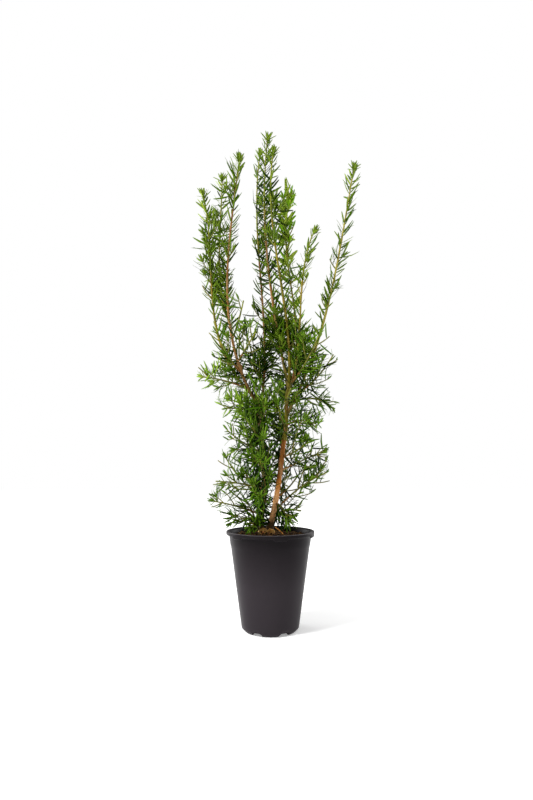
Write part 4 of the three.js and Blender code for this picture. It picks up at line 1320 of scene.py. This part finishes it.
def make_bark(limbs, materials):
    """The trunk, the second stem and every bough as tubes with bark relief, each its own piece."""
    for order, (name, (stem, share)) in enumerate(limbs.items()):
        rings = max(BARK_RINGS, int(stem.curve.length() * share / BARK_RING_GAP))
        sides = LIMB_SIDES if name in STEMS else BOUGH_SIDES
        size = stem.foot / STEMS["trunk"][1]

        def radius(at, name=name, stem=stem):
            """The stem's radius, plus the trunk's flare F exp(-s / f), plus the knots, each of them
            h exp(-((s - place) / width)^2)."""
            knots = KNOTS.get(name, FOOT_KNOT)
            flare = TRUNK_FLARE * np.exp(-at / TRUNK_FLARE_LENGTH) if name == "trunk" else 0
            swelling = sum(h * np.exp(-((at - place) / width) ** 2) for place, width, h in knots)
            return stem.radius(at) + flare + swelling

        shapes = [tube(stem.curve, radius, sides, rings, 0, share, flakes(size, 40 + order))]
        if name == "trunk":
            shapes += root_spurs(stem.curve)
        bark = LIMB_BARKS.get(name, "bough")
        put_mesh(f"{name}_bark", joined(shapes), materials[bark], [name])


def root_spurs(trunk):
    """Short spurs from the trunk's foot along the soil, each thinning to a third."""
    heart = trunk.at(trunk.share_at_height(SOIL_TOP + 0.3))
    spurs = []
    for order, (azimuth, reach, thickness) in enumerate(ROOT_SPURS):
        start = heart + UP * ROOT_SPUR_RISE
        end = heart + flat_direction(azimuth) * reach - UP * 2
        curve = Bezier(start, (start + end) / 2 + UP * ROOT_SPUR_RISE / 4, end)

        def taper(at, thickness=thickness):
            """The spur's radius."""
            return blend(thickness, thickness / 3, at)

        spurs.append(tube(curve, taper, 20, 16, 0, 1, flakes(1, 90 + order)))
    return spurs


def make_root_crown(material):
    """Short knotted tubes between two places round the trunk's foot, bulging outwards between them."""
    heart = Bezier(*STEMS["trunk"][0]).at(ROOT_CROWN_SHARE) - RIGHT * ROOT_CROWN_SHIFT
    heart[2] = 0
    shapes = []
    for order, (*places, thickness) in enumerate(ROOT_KNOBS):
        start, end = (heart + flat_direction(azimuth) * distance + UP * height
                      for azimuth, distance, height in places)
        outward = unit((start + end) / 2 - heart - UP * start[2])
        middle = (start + end) / 2 + outward * ROOT_BULGE + UP * ROOT_ARCH

        def knobs(at, thickness=thickness, order=order):
            """The radius: waves along the tube, and rounded ends."""
            waves = 0.75 + 0.3 * np.sin(9 * at + order)
            return thickness * waves * np.sin(math.pi * np.clip(at, 0.1, 0.9))

        shapes.append(tube(Bezier(start, middle, end), knobs, 18, 22, 0, 1, flakes(0.5, 120 + order)))
    put_mesh("root_crown", joined(shapes), material)


def make_litter(stick_material, dry_material):
    """A broken stick that leans on the soil, and fallen needles that lie on it."""
    shape = tube(Bezier(*STICK), lambda at: blend(*STICK_RADII, at), 12, 20, 0, 1, flakes(0.3, 70))
    put_mesh("broken_stick", shape, stick_material)
    random = np.random.default_rng(FALLEN_SEED)
    count = FALLEN_NEEDLES
    radius = FALLEN_RADIUS * np.sqrt(random.uniform(*FALLEN_AREA, count))
    turn = random.uniform(0, 2 * math.pi, count)
    x, y = radius * np.cos(turn), radius * np.sin(turn)
    heading = random.uniform(0, 2 * math.pi, count)
    slope = random.uniform(*FALLEN_SLOPE, count)
    direction = unit(np.stack([np.cos(heading), np.sin(heading), slope], -1))
    upper = square_to(UP, direction)
    bend = np.cross(direction, upper) * random.normal(0, FALLEN_CURL, count)[:, None]
    root = np.stack([x, y, soil_height(x, y) + FALLEN_LIFT], -1)
    length = random.uniform(*FALLEN_LENGTHS, count)
    rows = NeedleRows(root, direction, upper, bend, length, np.full(count, FALLEN_WIDTH))
    ends = root + direction * length[:, None]
    inside = np.hypot(ends[:, 0], ends[:, 1]) < FALLEN_LIMIT
    put_mesh("fallen_needles", needle_shape(rows.take(inside)), dry_material)


# Materials

# Pot: the plastic's two tones; a tone that is partly dust and partly painted reflection of the pale floor,
# and how high on the pot it starts and is full, so that the plain top under the lip is painted shade; the
# lip's tone, painted a little lighter, and the painted highlight along its top edge
PLASTIC_TONES = ((0.0052, 0.0038, 0.0048), (0.0074, 0.0054, 0.0068))
DUST_AND_REFLECTION_TONE = (0.0255, 0.0208, 0.0244)
DUST_AND_REFLECTION_TOP = 0.92
DUST_AND_REFLECTION_FULL = 0.44
LIT_LIP_TONE = (0.0085, 0.0068, 0.0080)
LIP_HIGHLIGHT_TONE = (0.085, 0.075, 0.082)
# Needle greens: the dark tone, the light tone, the underside and the roughness. The leaders' needles
# are a little warmer, so their red is raised by a factor.
NEEDLE_TONES = {
    "deep": ((0.003, 0.013, 0.001), (0.011, 0.036, 0.001), (0.030, 0.060, 0.004), 0.4),
    "mid": ((0.032, 0.088, 0.002), (0.063, 0.146, 0.004), (0.098, 0.168, 0.014), 0.4),
    "fresh": ((0.070, 0.152, 0.005), (0.118, 0.218, 0.013), (0.148, 0.228, 0.026), 0.44),
    "bright": ((0.160, 0.290, 0.016), (0.240, 0.385, 0.032), (0.270, 0.390, 0.050), 0.46),
    "vivid": ((0.090, 0.250, 0.002), (0.150, 0.370, 0.003), (0.180, 0.400, 0.010), 0.46),
}
WARMTH = {"shoot": 1.14, "spray": 1.0}
DRY_TONES = ((0.20, 0.105, 0.035), (0.36, 0.22, 0.08), (0.30, 0.19, 0.09))
# Barks: the material's name, its dark tone, its light tone, its worn plates, its roughness, and the
# trunk's foot, which is painted shade, and upper part. On the trunk the plates' colour also paints a
# highlight band.
BARK_TONES = {
    "trunk": ("orange brown bark", (0.40, 0.12, 0.014), (0.80, 0.30, 0.052), (0.97, 0.56, 0.26), 0.62,
              (0.06, 0.032, 0.008), (0.20, 0.072, 0.014)),
    "bough": ("olive brown bark", (0.095, 0.072, 0.014), (0.22, 0.17, 0.036), (0.26, 0.17, 0.05), 0.62),
    "brown": ("red brown bark", (0.17, 0.07, 0.018), (0.30, 0.15, 0.04), (0.34, 0.20, 0.08), 0.62),
    "moss": ("mossy twig", (0.085, 0.095, 0.012), (0.18, 0.19, 0.028), (0.22, 0.18, 0.04), 0.55),
    "olive": ("olive shoot", (0.11, 0.098, 0.006), (0.22, 0.18, 0.014), (0.27, 0.19, 0.03), 0.5),
    "green": ("green shoot", (0.105, 0.125, 0.006), (0.20, 0.215, 0.012), (0.25, 0.24, 0.03), 0.5),
    "pale": ("pale shoot", (0.19, 0.17, 0.018), (0.33, 0.28, 0.04), (0.40, 0.33, 0.08), 0.5),
    "golden": ("golden root wood", (0.62, 0.29, 0.055), (1.00, 0.55, 0.14), (1.00, 0.68, 0.27), 0.62),
    "stick": ("orange stick", (0.23, 0.08, 0.012), (0.46, 0.19, 0.04), (0.62, 0.34, 0.13), 0.62),
}
# Soil and the bits on it: the material's name, its dark tone, its light tone and its scale
SOIL_TONES = ("potting mix", (0.009, 0.0042, 0.002), (0.036, 0.017, 0.008), 120)
CRUMB_TONES = [
    ("dark crumbs", (0.012, 0.007, 0.004), (0.042, 0.024, 0.013), 300),
    ("bark chips", (0.070, 0.036, 0.016), (0.17, 0.092, 0.040), 300),
    ("pale bits", (0.24, 0.17, 0.09), (0.42, 0.32, 0.19), 300),
]


class Wiring:
    """Adds nodes to one node tree and links them. Each step returns the socket of its result."""

    def __init__(self, tree):
        self.tree = tree

    def feed(self, node, inputs):
        """Sets a node's inputs, by name or number, to plain values or to the sockets that feed them."""
        for socket, value in inputs.items():
            if isinstance(value, bpy.types.NodeSocket):
                self.tree.links.new(value, node.inputs[socket])
            else:
                node.inputs[socket].default_value = value

    def node(self, kind, inputs, **settings):
        """A new node with its own settings and its inputs."""
        node = self.tree.nodes.new(f"ShaderNode{kind}")
        for key, value in settings.items():
            setattr(node, key, value)
        self.feed(node, inputs)
        return node

    def vector(self, stretch=(1, 1, 1)):
        """Object coordinates through a Mapping node that stretches the pattern."""
        place = self.node("TexCoord", {}).outputs["Object"]
        return self.node("Mapping", {"Vector": place, "Scale": stretch}).outputs["Vector"]

    def mixed(self, factor, low, high):
        """A colour mix by a mask, where low and high are colours or sockets."""
        low, high = ((*value, 1) if isinstance(value, tuple) else value for value in (low, high))
        return self.node("Mix", {0: factor, 6: low, 7: high}, data_type="RGBA").outputs[2]

    def mapped(self, value, low, high, to_low=0.0, to_high=1.0):
        """A value mapped from one range to another, clamped."""
        return self.node("MapRange", {0: value, 1: low, 2: high, 3: to_low, 4: to_high}).outputs[0]

    def attribute(self, name):
        """A value stored at the mesh's vertices."""
        return self.node("Attribute", {}, attribute_name=name).outputs["Fac"]

    def mottle(self, vector, scale, contrast):
        """The shared mottle: its mask for colour and its height for bump."""
        inputs = {"Vector": vector, "Scale": scale, "Contrast": contrast}
        node = self.node("Group", inputs, node_tree=MOTTLE)
        return node.outputs["Mask"], node.outputs["Height"]

    def bump(self, shader, height, strength, distance):
        """Gives a shader a bump from a height."""
        inputs = {"Strength": strength, "Distance": distance, "Height": height}
        self.feed(shader, {"Normal": self.node("Bump", inputs).outputs["Normal"]})


def mottle_group():
    """Two noises of different size give a mask for colour, a finer one a height for bump."""
    group = bpy.data.node_groups.new("mottle", "ShaderNodeTree")
    for label, kind, value in (("Vector", "NodeSocketVector", (0, 0, 0)),
                               ("Scale", "NodeSocketFloat", 60.0),
                               ("Contrast", "NodeSocketFloat", 1.6)):
        socket = group.interface.new_socket(label, in_out="INPUT", socket_type=kind)
        socket.default_value = value
    for label in ("Mask", "Height"):
        group.interface.new_socket(label, in_out="OUTPUT", socket_type="NodeSocketFloat")
    start = group.nodes.new("NodeGroupInput").outputs
    end = group.nodes.new("NodeGroupOutput")
    wiring = Wiring(group)
    wide = wiring.node("TexNoise", {"Vector": start["Vector"], "Scale": start["Scale"], "Detail": 3})
    finer = wiring.node("Math", {0: start["Scale"], 1: 6.5}, operation="MULTIPLY").outputs[0]
    fine = wiring.node("TexNoise", {"Vector": start["Vector"], "Scale": finer, "Detail": 5})
    centred = wiring.node("Math", {0: wide.outputs["Fac"], 1: 0.5}, operation="SUBTRACT").outputs[0]
    spread = wiring.node("Math", {0: centred, 1: start["Contrast"], 2: 0.5},
                         operation="MULTIPLY_ADD", use_clamp=True).outputs[0]
    wiring.feed(end, {"Mask": spread, "Height": fine.outputs["Fac"]})
    return group


MOTTLE = mottle_group()


def new_material(name, roughness, specular=0.5):
    """A material with a plain Principled shader, and the wiring for its nodes."""
    material = bpy.data.materials.new(name)
    material.use_nodes = True
    shader = material.node_tree.nodes["Principled BSDF"]
    shader.inputs["Roughness"].default_value = roughness
    shader.inputs["Specular IOR Level"].default_value = specular
    return material, Wiring(material.node_tree), shader


def needle_material(name, dark, light, under, roughness):
    """Needle green: two tones in patches, a paler foot and a paler underside, with fine grain."""
    material, wiring, shader = new_material(name, roughness, 0.04)
    mask, height = wiring.mottle(wiring.vector(), 55, 3.2)
    foot = wiring.mapped(wiring.attribute("run"), 0.0, 0.16, 0.45, 0.0)
    below = wiring.mapped(wiring.attribute("under"), 0.5, 1.0, 0.0, 0.8)
    colour = wiring.mixed(foot, wiring.mixed(mask, dark, light), light)
    wiring.feed(shader, {"Base Color": wiring.mixed(below, colour, under)})
    wiring.bump(shader, height, 0.25, 0.0004)
    return material


def bark_material(name, dark, light, glow, roughness=0.62, foot=None, upper=None):
    """Bark in long streaks of two browns, with paler worn plates and a grain that runs up the limb.
    With a foot and an upper colour, the foot's colour covers the first quarter of the limb as painted
    shade, a band of the plates' paler colour follows it as a painted highlight, and the upper colour tints
    the rest."""
    material, wiring, shader = new_material(name, roughness, 0.15)
    mask, height = wiring.mottle(wiring.vector((1, 1, 0.16)), 210, 4.0)
    patches, _ = wiring.mottle(wiring.vector((1, 1, 0.4)), 48, 5.0)
    worn = wiring.mapped(patches, 0.6, 1.0, 0.0, 0.75)
    colour = wiring.mixed(worn, wiring.mixed(mask, dark, light), glow)
    if foot:
        age = wiring.attribute("age")
        # Painted highlight: a band of the paler colour part way up the limb
        colour = wiring.mixed(wiring.mapped(age, 0.44, 0.56, 0.55, 0.0), colour, glow)
        colour = wiring.mixed(wiring.mapped(age, 0.56, 0.66, 0.0, 0.72), colour, upper)
        # Painted shade: the dark colour over the limb's foot
        colour = wiring.mixed(wiring.mapped(age, 0.18, 0.25, 0.95, 0.0), colour, foot)
    gloss = wiring.mapped(mask, 0, 1, roughness + 0.12, roughness - 0.1)
    wiring.feed(shader, {"Base Color": colour, "Roughness": gloss})
    wiring.bump(shader, height, 0.6, 0.0006)
    return material


def soil_material(name, dark, light, scale):
    """Crumbly dark mix: patches of two browns and a rough grain."""
    material, wiring, shader = new_material(name, 0.95, 0.06)
    mask, height = wiring.mottle(wiring.vector(), scale, 3.5)
    wiring.feed(shader, {"Base Color": wiring.mixed(mask, dark, light)})
    wiring.bump(shader, height, 0.9, 0.0012)
    return material


def pot_material():
    """Satin black plastic with a faint plum tint: a moulded grain, slightly uneven gloss, a tone that gets
    paler towards its foot, partly dust and partly painted reflection of the pale floor, so that its plain
    dark top under the lip is painted shade, and a lip painted a little lighter, with a painted highlight
    along its top edge."""
    material, wiring, shader = new_material("black plastic", 0.36, 0.06)
    place = wiring.vector()
    mask, height = wiring.mottle(place, 16, 1.6)
    up = wiring.node("SeparateXYZ", {0: place}).outputs["Z"]
    level = wiring.vector((1, 1, 0))
    across = wiring.node("VectorMath", {0: level}, operation="LENGTH").outputs["Value"]
    # Paler towards the foot, partly dust and partly painted reflection of the pale floor; the plain top
    # under the lip stays dark as painted shade
    dust_and_reflection = wiring.mapped(up, DUST_AND_REFLECTION_TOP * POT_HEIGHT * MM, DUST_AND_REFLECTION_FULL * POT_HEIGHT * MM)
    # The lip is painted a little lighter than the wall as painted light, with a painted highlight along
    # its top edge
    edge = wiring.mapped(up, (POT_HEIGHT - 0.8) * MM, (POT_HEIGHT - 0.2) * MM)
    lit_lip = wiring.mapped(across, (LIP_RADIUS - 3.4) * MM, (LIP_RADIUS - 1.6) * MM)
    wall = wiring.mixed(dust_and_reflection, wiring.mixed(mask, *PLASTIC_TONES), DUST_AND_REFLECTION_TONE)
    lip = wiring.mixed(edge, LIT_LIP_TONE, LIP_HIGHLIGHT_TONE)
    gloss = wiring.mapped(mask, 0, 1, 0.33, 0.4)
    wiring.feed(shader, {"Base Color": wiring.mixed(lit_lip, wall, lip), "Roughness": gloss})
    wiring.bump(shader, height, 0.08, 0.0002)
    return material


needle_greens = {}
for kind, warmth in WARMTH.items():
    for tint, (*tones, roughness) in NEEDLE_TONES.items():
        warm = [(red * warmth, green, blue) for red, green, blue in tones]
        needle_greens[kind, tint] = needle_material(f"{tint} green {kind} needles", *warm, roughness)
barks = {key: bark_material(*tones) for key, tones in BARK_TONES.items()}


# Building


space = Space()
limbs = grow_limbs(space)
masses = grow_masses(limbs, space)

make_pot(pot_material())
make_soil(soil_material(*SOIL_TONES))
make_crumbs([soil_material(*tones) for tones in CRUMB_TONES])
make_bark(limbs, barks)
make_root_crown(barks["golden"])
make_litter(barks["stick"], needle_material("dry needles", *DRY_TONES, 0.6))
make_stems(masses, barks)
make_foliage(masses, limbs, needle_greens)


# Stage: pale floor, soft studio light, and the camera

ROOM_LIGHT = 0.42
FLOOR_HALF = 6.0
FLOOR_GLOW = 0.6
FLOOR_GLOW_NEAR = 0.30
GLOW_START = 0.1
GLOW_END = 0.7
# Lights: name, place, the point they face, the side of the square in metres, and the power in watts
LIGHTS = [
    ("key", (-1.6, -1.1, 2.1), (0, 0, 0.45), 0.7, 79),
    ("left box", (-2.1, 1.3, 0.9), (0, 0, 0.25), 1.6, 38),
    ("right box", (2.1, 1.3, 0.9), (0, 0, 0.25), 1.6, 32),
]
CAMERA_LENS = 24.07
CAMERA_SENSOR = 36.0
CAMERA_SHIFT = 0.0825


def make_floor():
    """A wide pale plane that glows a little, and less so near the pot, where the pot's shadow falls."""
    mesh = bpy.data.meshes.new("floor")
    half = FLOOR_HALF
    corners = [(-half, -half, 0), (half, -half, 0), (half, half, 0), (-half, half, 0)]
    mesh.from_pydata(corners, [], [(0, 1, 2, 3)])
    floor = add_object("floor", mesh)
    material, wiring, shader = new_material("pale floor", 0.9, 0.1)
    distance = wiring.node("VectorMath", {0: wiring.vector()}, operation="LENGTH").outputs["Value"]
    glow = wiring.mapped(distance, GLOW_START, GLOW_END, FLOOR_GLOW_NEAR, FLOOR_GLOW)
    wiring.feed(shader, {"Base Color": (0.95, 0.95, 0.95, 1), "Emission Color": (1, 1, 1, 1),
                         "Emission Strength": glow})
    mesh.materials.append(material)


def make_world():
    """A white room: the camera sees it as pure white, and the plant is lit by part of it."""
    world = bpy.data.worlds.new("white room")
    world.use_nodes = True
    wiring = Wiring(world.node_tree)
    seen = wiring.node("LightPath", {}).outputs["Is Camera Ray"]
    strength = wiring.mapped(seen, 0, 1, ROOM_LIGHT, 1)
    wiring.feed(world.node_tree.nodes["Background"], {"Color": (1, 1, 1, 1), "Strength": strength})
    bpy.context.scene.world = world


def add_area_light(name, place, target, size, power):
    """A square light that faces a point."""
    light = bpy.data.lights.new(name, "AREA")
    light.shape = "SQUARE"
    light.size = size
    light.energy = power
    lamp = add_object(name, light)
    lamp.location = place
    lamp.rotation_euler = (Vector(target) - Vector(place)).to_track_quat("-Z", "Y").to_euler()


def make_camera():
    """The photo's view: level, 1 m away, a little above the pot, shifted so that the whole plant shows."""
    data = bpy.data.cameras.new("camera")
    data.lens = CAMERA_LENS
    data.sensor_width = CAMERA_SENSOR
    data.sensor_fit = "AUTO"
    data.shift_y = CAMERA_SHIFT
    camera = add_object("camera", data)
    camera.location = Vector((VIEW_X, -VIEW_DISTANCE, VIEW_HEIGHT)) * MM
    camera.rotation_euler = (math.radians(90), 0, 0)
    bpy.context.scene.camera = camera


make_floor()
make_world()
for light_row in LIGHTS:
    add_area_light(*light_row)
make_camera()
bpy.context.scene.view_settings.view_transform = "Standard"
